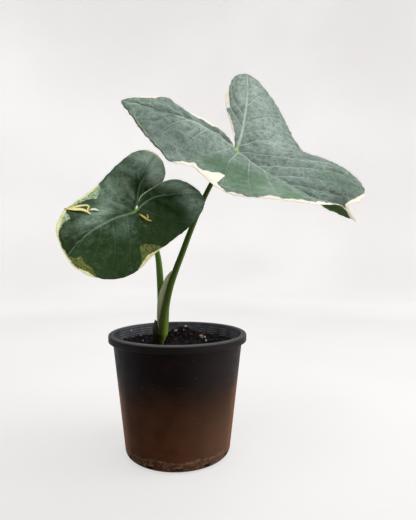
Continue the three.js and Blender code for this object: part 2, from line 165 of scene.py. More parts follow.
# Veins: the half of the blade, points of (place along the margin, share of the way out to it),
# and half the vein's width where it starts and where it ends
LARGE_LEAF["veins"] = [
    (0, [(0, 0), (6, 0), (6, 0.97)], (1.5, 0.35)),
    (1, [(0, 0), (8, 0), (8, 0.97)], (1.3, 0.35)),
    (0, [(11, 0), (18, 0), (18, 0.95)], (1.5, 0.4)),
    (0, [(9.8, 0), (9.76, 0.3), (9.97, 0.7), (10.6, 0.97)], (0.8, 0.25)),
    (0, [(11.2, 0), (11.97, 0.37), (12.2, 0.6), (12.7, 0.96)], (0.8, 0.25)),
    (0, [(12.75, 0), (13.13, 0.5), (13.4, 0.78), (13.9, 0.97)], (0.75, 0.25)),
    (0, [(13.9, 0), (14.35, 0.5), (14.8, 0.95)], (0.55, 0.2)),
    (0, [(15.05, 0), (15.4, 0.4), (15.76, 0.77), (16.1, 0.96)], (0.65, 0.2)),
    (0, [(8.45, 0), (8.5, 0.35), (8.6, 0.7), (8.9, 0.96)], (0.7, 0.2)),
    (0, [(7.35, 0), (7.45, 0.5), (7.6, 0.96)], (0.6, 0.2)),
    (0, [(6.6, 0), (6.75, 0.5), (6.85, 0.95)], (0.4, 0.18)),
    (0, [(3.05, 0), (3.5, 0.59), (4.2, 0.86), (4.9, 0.9), (5.5, 0.9)], (0.55, 0.2)),
    (0, [(1.9, 0), (2.5, 0.6), (3.3, 0.85), (3.9, 0.88)], (0.5, 0.2)),
    (0, [(4.5, 0), (4.95, 0.5), (5.5, 0.82)], (0.4, 0.18)),
    (0, [(9.1, 0), (9.2, 0.5), (9.5, 0.95)], (0.45, 0.18)),
    (1, [(11.75, 0), (12.2, 0.3), (12.52, 0.55), (12.5, 0.95)], (0.8, 0.25)),
    (1, [(10.5, 0), (10.9, 0.35), (11.3, 0.7), (11.5, 0.94)], (0.6, 0.2)),
    (1, [(9.6, 0), (9.9, 0.4), (10.3, 0.8), (10.5, 0.95)], (0.5, 0.2)),
    (1, [(8.8, 0), (9, 0.5), (9.3, 0.92)], (0.4, 0.18)),
    (1, [(3.2, 0), (3.8, 0.6), (4.6, 0.9)], (0.4, 0.18)),
    (1, [(5.2, 0), (5.7, 0.6), (6.3, 0.9)], (0.4, 0.18)),
    (1, [(6.5, 0), (6.9, 0.6), (7.4, 0.9)], (0.35, 0.18)),
    (1, [(14.2, 0), (14.05, 0.4), (14.1, 0.6), (14.3, 0.95)], (0.8, 0.25)),
    (1, [(15.1, 0), (15.3, 0.5), (15.8, 0.95)], (0.8, 0.3)),
    (1, [(16.3, 0), (16.6, 0.5), (17.1, 0.95)], (0.8, 0.3)),
    (1, [(17.5, 0), (17.9, 0.5), (18.5, 0.94)], (0.5, 0.2)),
    (1, [(18.7, 0), (19.1, 0.5), (19.6, 0.92)], (0.45, 0.2)),
]
SMALL_LEAF["veins"] = [
    (0, [(0, 0), (8, 0), (8, 0.96)], (1.0, 0.3)),
    (1, [(0, 0), (9, 0), (9, 0.96)], (1.0, 0.3)),
    (0, [(14, 0), (19, 0), (19, 0.95)], (1.1, 0.3)),
    (0, [(9.45, 0), (9.9, 0.35), (11.1, 0.92)], (0.55, 0.2)),
    (0, [(11.1, 0), (11.5, 0.3), (11.9, 0.58), (12.6, 0.95)], (0.55, 0.2)),
    (0, [(13.3, 0), (13.6, 0.3), (13.81, 0.54), (14.05, 0.95)], (0.65, 0.2)),
    (0, [(14.55, 0), (14.6, 0.45), (14.65, 0.7), (14.9, 0.94)], (0.55, 0.2)),
    (0, [(15.9, 0), (16.2, 0.5), (16.6, 0.92)], (0.5, 0.2)),
    (0, [(17.2, 0), (17.6, 0.4), (18.2, 0.9)], (0.5, 0.2)),
    (0, [(5.1, 0), (5.5, 0.5), (6.1, 0.9)], (0.4, 0.18)),
    (0, [(6.6, 0), (7, 0.5), (7.4, 0.9)], (0.35, 0.18)),
    (0, [(8.5, 0), (8.8, 0.5), (9.4, 0.9)], (0.4, 0.18)),
    (1, [(10.75, 0), (10.72, 0.3), (10.9, 0.7), (11.1, 0.93)], (0.5, 0.2)),
    (1, [(11.7, 0), (11.9, 0.5), (12.2, 0.94)], (0.45, 0.2)),
    (1, [(5.5, 0), (5.9, 0.5), (6.4, 0.9)], (0.4, 0.18)),
    (1, [(7.2, 0), (7.6, 0.5), (8.1, 0.9)], (0.35, 0.18)),
    (1, [(13.9, 0), (14.4, 0.25), (14.75, 0.5), (15.3, 0.93)], (0.6, 0.2)),
    (1, [(15.4, 0), (15.8, 0.5), (16.4, 0.93)], (0.5, 0.2)),
    (1, [(16.6, 0), (17.1, 0.5), (17.7, 0.92)], (0.5, 0.2)),
    (1, [(17.9, 0), (18.4, 0.5), (18.9, 0.9)], (0.4, 0.18)),
    (1, [(13.1, 0), (13.2, 0.5), (13.6, 0.93)], (0.45, 0.2)),
]

# Pale colour along the margins: how deep it reaches, in millimetres, at places along each half's
# margin. A lean makes a patch slant along the margin as it goes deeper.
LARGE_LEAF["cream"] = [
    {
        "lean": 0.0,
        "cream": [
            (0.2, 0.4), (0.7, 2.2), (1.1, 4), (1.8, 5.2), (2.3, 4.6), (2.55, 2.2), (2.66, -0.6),
            (2.76, -0.6), (2.92, 9.4), (3.6, 7), (4.1, 3.4), (4.5, 0.7), (4.8, -1), (14.6, -1),
            (15.1, 0.8), (15.7, 4.4), (16.15, 7.5), (16.7, 3), (17.2, 3), (18, 5),
        ],
        "mottle": [(0, 0), (18, 0)],
    },
    {
        "lean": 0.0156,
        "cream": [
            (0, 0), (1.8, -0.3), (2.3, 1.2), (2.6, 3.6), (3.1, 4.6), (3.6, 3.4), (3.9, 1.4), (4.2, 0.2),
            (4.7, -0.5), (5, 1.2), (5.6, 2.2), (6.2, 1.8), (6.8, 0.9), (7.1, -1), (11.85, -1), (12, 1.7),
            (12.3, 4.6), (12.6, 5.2), (12.9, 4.6), (13.1, 2.8), (13.32, 3.2), (13.44, 8), (13.56, 14),
            (13.74, 19.4), (13.9, 22.6), (13.96, 5.4), (14.1, 3), (14.4, 1.5), (14.6, 0.5), (14.8, 3),
            (15.3, 2.2), (15.56, 0.2), (16.1, 0.4), (16.5, 3.4), (16.9, 3.3), (17.25, 2.2), (17.9, 3.4),
            (19, 4.4), (19.8, 2.5), (20.3, 2.4), (21, 5),
        ],
        "mottle": [(0, 0), (21, 0)],
    },
]
SMALL_LEAF["cream"] = [
    {
        "lean": 0.0,
        "cream": [
            (0, -1), (6.9, -1), (7.4, 1.3), (8.4, 1.9), (9, 1.3), (9.6, -1), (12.8, -1), (13.05, 1.4),
            (13.4, 1.9), (14.3, 1.9), (14.8, 1.6), (15.2, 0.4), (15.5, 2.2), (16, 3.2), (16.6, 3.3),
            (17.1, 2.6), (17.5, 1), (18.2, 0.7), (18.6, 1.2), (19, 1.4),
        ],
        "mottle": [
            (12.9, 0), (13.1, 5.4), (13.6, 9), (14.03, 12), (14.12, 8.2), (14.4, 6), (14.8, 4.4),
            (15.2, 0.5), (15.45, 1.9), (15.8, 6.4), (16.08, 9.6), (16.3, 6.4), (16.6, 4.6), (16.9, 4),
            (17.3, 2), (17.6, 0),
        ],
    },
    {
        "lean": 0.0,
        "cream": [
            (0, -0.2), (1.8, 0), (2.6, 0.2), (5, 0.3), (6.2, 0.1), (7, -1), (13.4, -1), (13.7, 1),
            (14, 1.6), (14.3, 3.6), (14.62, 2.6), (14.9, 0.6), (15.1, -1), (16.9, -1), (17.1, 0.8),
            (17.5, 2.4), (17.9, 1.7), (18.4, 1.0), (19, 1.2), (19.6, 1.0), (20, 1.4),
        ],
        "mottle": [
            (13.55, 0), (13.66, 3.4), (13.8, 6), (14.02, 10.4), (14.4, 14.4), (14.5, 9.6), (14.6, 5.2),
            (14.75, 2), (14.9, 0), (16.9, 0), (17.12, 3), (17.26, 7.4), (17.71, 7.8), (18.0, 9.6),
            (18.24, 11.4), (18.53, 5), (18.8, 4), (19.35, 2), (19.5, 0),
        ],
    },
]

# Soft changes of tone, each the half, the place, the share of the way out, the reach in
# millimetres and the amount. The grey bloom is the waxy coat on the skin with a painted sheen over
# it; the lightening tone is painted highlight and sheen, and the darkening tone painted shade.
LARGE_LEAF["tones"] = {
    # Grey of the waxy coat, with a painted sheen over it
    "bloom_and_sheen": (0.9, [
        (1, 12.6, 0.78, 14, -0.3), (1, 13.5, 0.65, 16, -0.35), (1, 14.6, 0.6, 22, -0.6),
        (1, 15.6, 0.65, 26, -0.65), (1, 16.6, 0.7, 24, -0.5), (1, 17.6, 0.8, 20, -0.4),
        (1, 7.7, 0.7, 12, -0.35), (1, 9.3, 0.8, 12, -0.3), (0, 13.8, 0.75, 16, -0.4),
        (0, 15, 0.85, 13, -0.35), (0, 5.4, 0.9, 10, -0.2), (0, 9.3, 0.95, 12, -0.3),
    ]),
    # Painted shade
    "painted_shade": (0.0, [
        (0, 17.2, 0.4, 9, 0.6), (0, 16.7, 0.76, 7, 0.95), (0, 17.1, 0.7, 7, 0.6), (0, 10.6, 0.08, 5, 0.5),
        (1, 9.7, 0.8, 12, 0.25), (1, 10.4, 0.78, 12, 0.35), (1, 10.3, 0.55, 12, 0.3),
        (1, 11, 0.62, 12, 0.35), (1, 11.7, 0.75, 10, 0.3), (0, 0.6, 0.5, 6, 0.4), (1, 7.9, 0.97, 4, 0.6),
        (0, 12.1, 0.15, 9, 0.3), (1, 12.9, 0.8, 14, 0.25), (1, 13.5, 0.6, 12, 0.25),
        (1, 15, 0.55, 14, 0.4), (0, 15.1, 0.76, 12, 0.45), (0, 14.6, 0.6, 9, 0.25),
        (1, 15.4, 0.25, 8, 0.25),
    ]),
    # Painted highlights and sheen
    "light": (0.0, [
        (0, 4.6, 0.3, 20, 0.3), (0, 6.4, 0.6, 18, 0.25), (0, 7.6, 0.5, 20, 0.3), (0, 9, 0.6, 20, 0.4),
        (0, 9.8, 0.6, 16, 0.3), (0, 10.4, 0.6, 12, 0.25), (0, 2, 0.25, 12, 0.2), (1, 11.4, 0.16, 8, 0.4),
        (1, 11.9, 0.16, 7, 0.3), (1, 16.7, 0.76, 9, 0.3), (1, 9.7, 0.16, 7, 0.15),
    ]),
}
SMALL_LEAF["tones"] = {
    # Grey of the waxy coat, with a painted sheen over it
    "bloom_and_sheen": (0.04, [
        (0, 10.6, 0.78, 12, 0.4), (0, 9.5, 0.4, 9, 0.4), (0, 12, 0.8, 11, 0.35), (0, 11.8, 0.45, 9, 0.2),
        (0, 13, 0.79, 11, 0.45), (0, 13.6, 0.45, 10, 0.3), (0, 14.4, 0.5, 10, 0.4),
        (0, 15.7, 0.3, 10, 0.6), (0, 16.5, 0.4, 9, 0.4), (0, 6.4, 0.4, 9, 0.4), (1, 14.3, 0.2, 8, 0.4),
        (1, 15.2, 0.25, 9, 0.4), (1, 6.4, 0.9, 9, 0.4), (1, 7.3, 0.7, 10, 0.45), (1, 8.6, 0.6, 10, 0.4),
        (1, 9.9, 0.75, 10, 0.45), (1, 10.5, 0.9, 7, 0.25), (1, 11.2, 0.88, 7, 0.2),
    ]),
    # Painted shade
    "painted_shade": (0.0, [
        (1, 13.65, 0.7, 15, 0.2), (1, 15.5, 0.7, 15, 0.15), (1, 11.6, 0.5, 12, 0.15),
        (0, 4, 0.1, 6, 0.25), (0, 17.8, 0.6, 8, 0.3), (1, 10.9, 0.15, 7, 0.15), (0, 10.6, 0.25, 6, 0.3),
        (0, 17.4, 0.1, 7, 0.25),
    ]),
    # Painted highlights and sheen
    "light": (0.0, [
        (0, 8.6, 0.7, 9, 0.9), (0, 7.2, 0.72, 9, 1.0), (0, 6.2, 0.76, 8, 0.85), (0, 9.6, 0.8, 7, 0.15),
        (0, 10.3, 0.97, 6, 0.25), (0, 5.2, 0.8, 6, 0.3), (0, 6.6, 0.35, 5, 0.25), (0, 15.8, 0.3, 6, 0.35),
        (0, 14.8, 0.4, 6, 0.3), (0, 16.6, 0.35, 5, 0.2), (0, 13.5, 0.85, 6, 0.15), (1, 6.1, 0.92, 7, 0.4),
        (1, 7, 0.78, 8, 0.4), (1, 8.2, 0.6, 9, 0.35), (1, 9.6, 0.7, 9, 0.3), (1, 10.3, 0.86, 8, 0.3),
        (1, 10, 0.45, 7, 0.2), (1, 8.9, 0.2, 6, 0.15), (1, 11.2, 0.88, 6, 0.15),
    ]),
}

# Creases: points of half, place and share of the way out, how wide, and how dark and deep. The
# darkness is painted shade along the crease.
LARGE_LEAF["creases"] = [
    ([(0, 15.2, 0.2), (0, 15.35, 0.34), (0, 15.4, 0.46), (0, 15.55, 0.6)], 2.2, 0.5),
    ([(0, 15.45, 0.52), (0, 15.7, 0.65), (0, 16.3, 0.78), (0, 16.9, 0.84)], 3.2, 1.0),
    ([(1, 7.9, 0.97), (1, 7.57, 0.87), (1, 7.72, 0.39), (1, 6.76, 0.2)], 1.1, 0.4),
    ([(0, 13.2, 0.75), (0, 13.55, 0.88), (0, 14.1, 0.93)], 1.6, 0.4),
    ([(1, 6.52, 0.92), (1, 6.49, 0.61), (1, 6.97, 0.22)], 1.0, 0.45),
    ([(1, 9.58, 0.94), (1, 9.7, 0.66), (1, 9.46, 0.5), (1, 9.4, 0.3)], 1.0, 0.4),
    ([(1, 10.35, 0.92), (1, 10.3, 0.62), (1, 10.61, 0.39)], 1.1, 0.4),
    ([(1, 8.5, 0.9), (1, 8.7, 0.55), (1, 8.9, 0.2)], 1.0, 0.3),
    ([(1, 11.2, 0.75), (1, 11.1, 0.45), (1, 11.4, 0.2)], 1.2, 0.3),
    ([(0, 11.5, 0.12), (0, 12.2, 0.3), (0, 13, 0.4)], 2.5, 0.3),
]
SMALL_LEAF["creases"] = [
    ([(0, 1.5, 0), (0, 3.5, 0), (0, 5.5, 0), (0, 7.2, 0)], 1.7, 0.5),
    ([(1, 10, 0.05), (1, 9.6, 0.06), (1, 9.3, 0.08)], 2.4, 0.4),
    ([(0, 18.2, 0.1), (0, 18.5, 0.5), (0, 18.7, 0.8)], 2.0, 0.5),
]

# Strokes of light on the skin, written like the creases
LARGE_LEAF["strokes"] = [
    ([(1, 9.8, 0.03), (1, 10.7, 0.05), (1, 11.7, 0.06)], 4.0, 0.4),
    ([(1, 10.36, 0.06), (1, 10.76, 0.45), (1, 10.88, 0.61)], 1.8, 0.35),
    ([(1, 10.36, 0.33), (1, 9.82, 0.29), (1, 9.64, 0.41)], 1.8, 0.25),
    ([(0, 9.4, 0.3), (0, 9.8, 0.75)], 3.0, 0.25),
    ([(0, 12.3, 0.5), (0, 12.6, 0.9)], 3.0, 0.25),
    ([(1, 16.5, 0.5), (1, 17, 0.85)], 3.0, 0.25),
]
SMALL_LEAF["strokes"] = [
    ([(0, 12.4, 0.9), (0, 12.97, 0.45)], 2.6, 0.22),
    ([(0, 11.39, 0.52), (0, 11.2, 0.1)], 2.4, 0.2),
    ([(0, 15.14, 0.55), (0, 15.74, 0.32), (0, 16.28, 0.07)], 2.6, 0.28),
    ([(0, 13.67, 0.6), (0, 14.05, 0.25)], 2.6, 0.18),
]

# Where the small leaf's outgrowths run, from its petiole's end, and half their widths
RIBBONS = {
    "ribbon_upper": (
        [
            (-57, -8, 2.2), (-52, -8, 3.1), (-47, -7.8, 4.2), (-42, -7.1, 4.9), (-38.7, -6.9, 4.7),
            (-38, -7, 3.4), (-38.7, -7.6, 1.8), (-38.1, -8, 0.4),
        ],
        (0.5, 0.8, 0.9, 0.8, 0.7, 0.6, 0.7, 0.5),
    ),
    "ribbon_lower": (
        [
            (-58.6, -8.3, 1.9), (-53.4, -8.9, 1.8), (-48.3, -9.2, 1.5), (-43.3, -9, 1.2), (-39.7, -9, 0),
            (-35.6, -9.2, -2.9),
        ],
        (0.5, 1.2, 1.5, 1.3, 1.1, 0.4),
    ),
    "flap_white": (
        [(-37.4, -7, 1), (-35.2, -7.2, 1.5), (-32.3, -7, 1.5), (-29.7, -6.2, 0.3)],
        (0.4, 0.9, 1.0, 0.3),
    ),
    "flap_amber": (
        [(3.4, 0, -1.6), (6.4, -2.2, -3.4), (9, -2.8, -5.2), (12, -2.6, -7.2), (14.6, -1.8, -7.8)],
        (0.4, 0.8, 0.9, 0.8, 0.4),
    ),
    "flap_amber_fork": ([(10.6, -2.8, -6.4), (11.6, -3.2, -4.6), (11, -3, -2.2)], (0.7, 0.5, 0.3)),
}


def waves(points, size, seed, count=14):
    """Smooth roughness of about -1 to 1: the sum of plane waves in random directions, each about
    one size long."""
    draw = np.random.default_rng(seed)
    way = draw.normal(size=(count, points.shape[-1]))
    length = 2 * np.pi / size * draw.uniform(0.7, 1.5, (count, 1))
    way *= length / np.linalg.norm(way, axis=1, keepdims=True)
    return np.sin(points @ way.T + draw.uniform(0, 2 * np.pi, count)).sum(-1) / np.sqrt(count)


def ramp(value, low, high):
    """0 below low, 1 above high, and a smooth step between: 3t² - 2t³."""
    share = np.clip((value - low) / (high - low), 0, 1)
    return share * share * (3 - 2 * share)


def unit(vectors):
    """Vectors at length 1. One without length stays as it is, and evened() then fills it in."""
    length = np.linalg.norm(vectors, axis=-1, keepdims=True)
    return vectors / np.where(length > 0, length, 1)


def smooth_line(points, place):
    """A centripetal Catmull-Rom curve through the points, at places from 0 to 1: a cubic between
    each two points, whose slopes there weigh the chords by the square roots of their lengths."""
    p = np.asarray(points, float)
    ends = np.vstack([2 * p[0] - p[1], p, 2 * p[-1] - p[-2]])
    gap = np.sqrt(np.linalg.norm(np.diff(ends, axis=0), axis=1))
    chord = np.diff(ends, axis=0) / gap[:, None]
    over = (ends[2:] - ends[:-2]) / (gap[1:] + gap[:-1])[:, None]
    slope = chord[:-1] - over + chord[1:]
    x = np.asarray(place, float) * (len(p) - 1)
    i = np.clip(np.floor(x).astype(int), 0, len(p) - 2)
    t = (x - i)[..., None]
    step = gap[i + 1][..., None]
    a, b, m, n = p[i], p[i + 1], slope[i] * step, slope[i + 1] * step
    return a + t * m + t**2 * (3 * (b - a) - 2 * m - n) + t**3 * (2 * (a - b) + m + n)


def even_line(points, share):
    """The same curve at shares of its length."""
    fine = smooth_line(points, np.linspace(0, 1, 401))
    length = np.append(0, np.cumsum(np.linalg.norm(np.diff(fine, axis=0), axis=1)))
    want = np.asarray(share) * length[-1]
    return np.stack([np.interp(want, length, fine[:, axis]) for axis in range(3)], -1)


def split(quads):
    """Two triangles for each quad."""
    return np.concatenate([quads[:, [0, 1, 2]], quads[:, [0, 2, 3]]])


def grid_quads(rows, columns, around=False):
    """Quads over rows of corners. Around joins each row's last corner to its first."""
    steps = columns if around else columns - 1
    row, column = np.meshgrid(np.arange(rows - 1), np.arange(steps), indexing="ij")
    here = row * columns + column
    right = row * columns + (column + 1) % columns
    return np.stack([here, right, right + columns, here + columns], -1)


def grid_faces(rows, columns, around=False):
    return split(grid_quads(rows, columns, around).reshape(-1, 4))


FLIPPED = [0, 2, 1]


def end_fans(rows, columns):
    """Triangles that close rings of corners at the first and at the last ring, each time round a
    middle corner. The two middle corners come after the rings."""
    ring = np.arange(columns)
    after = (ring + 1) % columns
    last, middle = (rows - 1) * columns, np.full(columns, rows * columns)
    return np.concatenate([
        np.stack([middle, after, ring], -1), np.stack([middle + 1, last + ring, last + after], -1)
    ])


def edges_of(faces):
    """The three edges of each triangle."""
    return np.concatenate([faces[:, [0, 1]], faces[:, [1, 2]], faces[:, [2, 0]]])


def face_normals(corners, faces):
    """Normals of triangles, twice as long as their areas are large."""
    a, b, c = (corners[faces[:, k]] for k in range(3))
    return np.cross(b - a, c - a)


def even_angles(count):
    return np.linspace(0, 2 * np.pi, count, endpoint=False)


def turned(radius, angle, height):
    """Points at radii, angles and heights round the z axis."""
    return np.stack(np.broadcast_arrays(radius * np.cos(angle), radius * np.sin(angle), height), -1)


def mesh_piece(name, corners, faces, material, values=None, sharp=None):
    """A piece on the object's one body, from corners in millimetres and triangles. Values are
    numbers for each corner that its material reads."""
    mesh = bpy.data.meshes.new(name)
    mesh.vertices.add(len(corners))
    mesh.vertices.foreach_set("co", (np.asarray(corners) * MM).astype(np.float32).ravel())
    faces = np.asarray(faces, np.int32)
    mesh.loops.add(faces.size)
    mesh.loops.foreach_set("vertex_index", faces.ravel())
    mesh.polygons.add(len(faces))
    mesh.polygons.foreach_set("loop_start", np.arange(0, faces.size, 3, dtype=np.int32))
    mesh.update(calc_edges=True)
    for key, numbers in (values or {}).items():
        layer = mesh.attributes.new(key, "FLOAT", "POINT")
        layer.data.foreach_set("value", np.asarray(numbers, np.float32))
    mesh.shade_smooth()
    if sharp is not None:
        mesh.set_sharp_from_angle(angle=np.radians(sharp))
    mesh.materials.append(material)
    piece = bpy.data.objects.new(name, mesh)
    scene.collection.objects.link(piece)
    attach(piece, "root")
    return piece


def tube(centres, side, radius):
    """Corners and triangles of a closed tube: a ring round each centre, at a radius for each of
    its spokes, and one corner at each end. Spoke 0 points as near to the side as it can."""
    rings, spokes = radius.shape
    along = unit(np.gradient(centres, axis=0))
    first = unit(side - (along @ np.asarray(side, float))[:, None] * along)
    second = np.cross(along, first)
    angle = even_angles(spokes)[:, None]
    spoke = np.cos(angle) * first[:, None] + np.sin(angle) * second[:, None]
    shell = centres[:, None] + radius[..., None] * spoke
    corners = np.concatenate([shell.reshape(-1, 3), centres[[0, -1]]])
    return corners, np.concatenate([grid_faces(rings, spokes, around=True), end_fans(rings, spokes)])


# Shader helpers


class Wire:
    """What a node gives out, a number or a colour. Each sum with it, and each method, adds a node
    that works out the result."""

    def __init__(self, node, output=0):
        self.tree, self.socket = node.id_data, node.outputs[output]

    def math(self, operation, other=0.0):
        return wire(self.tree, "ShaderNodeMath", {0: self, 1: other}, operation=operation)

    def __add__(self, other):
        return self.math("ADD", other)

    def __sub__(self, other):
        return self.math("SUBTRACT", other)

    def __mul__(self, other):
        return self.math("MULTIPLY", other)

    def ramp(self, low, high, start=0.0, end=1.0):
        """Runs smoothly from start to end as the number goes from low to high."""
        inputs = {"Value": self, "From Min": low, "From Max": high, "To Min": start, "To Max": end}
        return wire(self.tree, "ShaderNodeMapRange", inputs, interpolation_type="SMOOTHSTEP")


def feed(value, socket):
    """Links a wire to a socket, or sets the socket's own number or colour."""
    if isinstance(value, Wire):
        value.tree.links.new(value.socket, socket)
    else:
        socket.default_value = value


def put(tree, kind, inputs=None, **settings):
    """Adds a node. Inputs are numbers, colours or wires."""
    node = tree.nodes.new(kind)
    for key, value in settings.items():
        setattr(node, key, value)
    for key, value in (inputs or {}).items():
        feed(value, node.inputs[key])
    return node


def wire(tree, kind, inputs=None, output=0, **settings):
    return Wire(put(tree, kind, inputs, **settings), output)


def colour(code):
    """A colour from its hex code, as the linear light that a shader takes."""
    parts = np.array([int(code[i : i + 2], 16) for i in (1, 3, 5)]) / 255
    linear = np.where(parts <= 0.04045, parts / 12.92, ((parts + 0.055) / 1.055) ** 2.4)
    return (*linear.tolist(), 1.0)


def mix(share, under, over):
    """Lays one colour over another by a share. A colour is a wire or a hex code."""
    under, over = (colour(shade) if isinstance(shade, str) else shade for shade in (under, over))
    return wire(share.tree, "ShaderNodeMix", {0: share, 6: under, 7: over}, 2, data_type="RGBA")


def value_of(tree, key):
    """One of the numbers that a piece's corners carry."""
    return wire(tree, "ShaderNodeAttribute", None, "Fac", attribute_type="GEOMETRY", attribute_name=key)


def place_of(tree):
    """Object coordinates, in metres."""
    return wire(tree, "ShaderNodeTexCoord", None, "Object")


def axes_of(tree):
    """The object coordinates x, y and z, each by itself, in metres."""
    parts = put(tree, "ShaderNodeSeparateXYZ", {0: place_of(tree)})
    return [Wire(parts, axis) for axis in range(3)]


def stretched(tree, x, y, z):
    """Object coordinates stretched by a factor along each axis."""
    inputs = {"Vector": place_of(tree), "Scale": (1 / x, 1 / y, 1 / z)}
    return wire(tree, "ShaderNodeMapping", inputs)


def new_group(name, numbers):
    """A node group that takes a vector and some numbers. Also its inputs, and the scale at which
    a texture's cells are one Size in millimetres."""
    group = bpy.data.node_groups.new(name, "ShaderNodeTree")
    group.interface.new_socket("Vector", in_out="INPUT", socket_type="NodeSocketVector")
    for key, number in numbers.items():
        socket = group.interface.new_socket(key, in_out="INPUT", socket_type="NodeSocketFloat")
        socket.default_value = number
    group.interface.new_socket("Value", in_out="OUTPUT", socket_type="NodeSocketFloat")
    start = put(group, "NodeGroupInput")
    given = {key: Wire(start, key) for key in ("Vector", *numbers)}
    scale = wire(group, "ShaderNodeMath", {0: 1 / MM, 1: given["Size"]}, operation="DIVIDE")
    return group, given, scale


def grain_group():
    """Soft spots about one size across: noise, with its middle band opened out to 0 and 1."""
    group, given, scale = new_group("grain", {"Size": 5.0, "Low": 0.35, "High": 0.65})
    inputs = {"Vector": given["Vector"], "Scale": scale, "Detail": 3.0}
    spots = wire(group, "ShaderNodeTexNoise", inputs).ramp(given["Low"], given["High"])
    put(group, "NodeGroupOutput", {"Value": spots})
    return group


def net_group():
    """A net of fine lines: where two cells of a crackle meet, with the cells pushed about by
    noise. Size is the width of a mesh and Line the width of a line, as a share of it."""
    group, given, scale = new_group("vein_net", {"Size": 5.0, "Line": 0.08})
    inputs = {"Vector": given["Vector"], "Scale": scale, "Detail": 1.0}
    push = wire(group, "ShaderNodeTexNoise", inputs, "Color")
    centred = wire(group, "ShaderNodeVectorMath", {0: push, 1: (0.5, 0.5, 0.5)}, operation="SUBTRACT")
    shift = wire(group, "ShaderNodeVectorMath", {0: centred, "Scale": 3.0 * MM}, operation="SCALE")
    moved = wire(group, "ShaderNodeVectorMath", {0: given["Vector"], 1: shift}, operation="ADD")
    inputs = {"Vector": moved, "Scale": scale}
    edge = wire(group, "ShaderNodeTexVoronoi", inputs, "Distance", feature="DISTANCE_TO_EDGE")
    put(group, "NodeGroupOutput", {"Value": edge.ramp(0.0, given["Line"], 1.0, 0.0)})
    return group


GRAIN = grain_group()
NET = net_group()


def grain(tree, size, low=0.35, high=0.65, vector=None):
    """Soft spots of a size in millimetres, 0 to 1. The noise is opened out from low to high."""
    inputs = {"Vector": vector or place_of(tree), "Size": size, "Low": low, "High": high}
    return wire(tree, "ShaderNodeGroup", inputs, node_tree=GRAIN)


def net(tree, size, line):
    """Fine lines, 0 to 1, round meshes of a size in millimetres."""
    inputs = {"Vector": place_of(tree), "Size": size, "Line": line}
    return wire(tree, "ShaderNodeGroup", inputs, node_tree=NET)


def new_material(name, fixed):
    """A material and its tree, with fixed values on the shader's own sockets."""
    material = bpy.data.materials.new(name)
    material.use_nodes = True
    shader = material.node_tree.nodes["Principled BSDF"]
    for key, value in fixed.items():
        shader.inputs[key].default_value = value
    return material, material.node_tree


def dress(material, base, roughness, height, depth):
    """Links what changes over the surface, and gives the material back. Roughness may be None.
    Height is a relief of 0 to 1, depth millimetres deep."""
    shader = material.node_tree.nodes["Principled BSDF"]
    feed(base, shader.inputs["Base Color"])
    if roughness is not None:
        feed(roughness, shader.inputs["Roughness"])
    relief = {"Height": height, "Distance": depth * MM, "Strength": 1.0}
    feed(wire(material.node_tree, "ShaderNodeBump", relief), shader.inputs["Normal"])
    return material


# Blades

# At each mark along a margin, how far along its rib the ray to the margin starts
FOOT_SHARES = (0, 1, 0, 0, 1)
# How many times the ends of the ribs are softened, and normals evened
RIB_END_TIMES = 40
NORMAL_TIMES = 8
# A line on a blade isn't felt beyond so many millimetres, and what is further counts as far away
LINE_REACH = 9
FAR = 60.0
# How deep the skin is sunk along a rib, how thick a keel is, how high the margin's ripples are,
# all in millimetres, and the unevenness: waves by height, size and what their seed adds
RIB_FURROW = 0.45
KEEL_DEPTH = 1.4
RIPPLE = 0.5
UNEVENNESS = ((0.35, 16.0, 0), (0.22, 7.0, 2), (0.08, 3.6, 3))


def blade_normal(leaf):
    """The normal of the blade as a whole, turned upwards."""
    share = np.linspace(0, 1, 200)
    first, second = leaf["margins"]
    ring = np.vstack([smooth_line(first, share), smooth_line(second, share[::-1])[1:-1]])
    normal = np.cross(ring, np.roll(ring, -1, 0)).sum(0)
    return normal * np.sign(normal[2]) / np.linalg.norm(normal)


def on_blade(leaf, side, place, out, ahead=None):
    """Points of one half of a blade. A straight ray runs from a foot on the lobe's rib or the
    midrib to a place on the margin, raised to a shallow arch of bulge · length · 4·out·(1 - out).
    Out is 0 at the foot and 1 at the margin."""
    place, out = np.broadcast_arrays(np.asarray(place, float), np.asarray(out, float))
    marks = leaf["marks"][side]
    foot = np.interp(place, marks, FOOT_SHARES)
    ahead = np.broadcast_to(place > marks[3] if ahead is None else ahead, place.shape)[..., None]
    lobe = even_line(leaf["ribs"][side], foot * RIB_SHARE)
    start = np.where(ahead, even_line(leaf["ahead"], foot * RIB_SHARE), lobe)
    ray = smooth_line(leaf["margins"][side], place / marks[-1]) - start
    length = np.linalg.norm(ray, axis=-1, keepdims=True)
    rise = leaf["bulge"] * length * np.where(ahead, 1 - foot[..., None], 1)
    lift = blade_normal(leaf) * rise * (4 * out * (1 - out))[..., None]
    return np.array(leaf["joint"], float) + start + ray * out[..., None] + lift, length[..., 0]


def depth_at(table, place):
    """The depth of a patch at places along a margin, from its few measured depths."""
    return np.interp(place, *np.array(table, float).T)


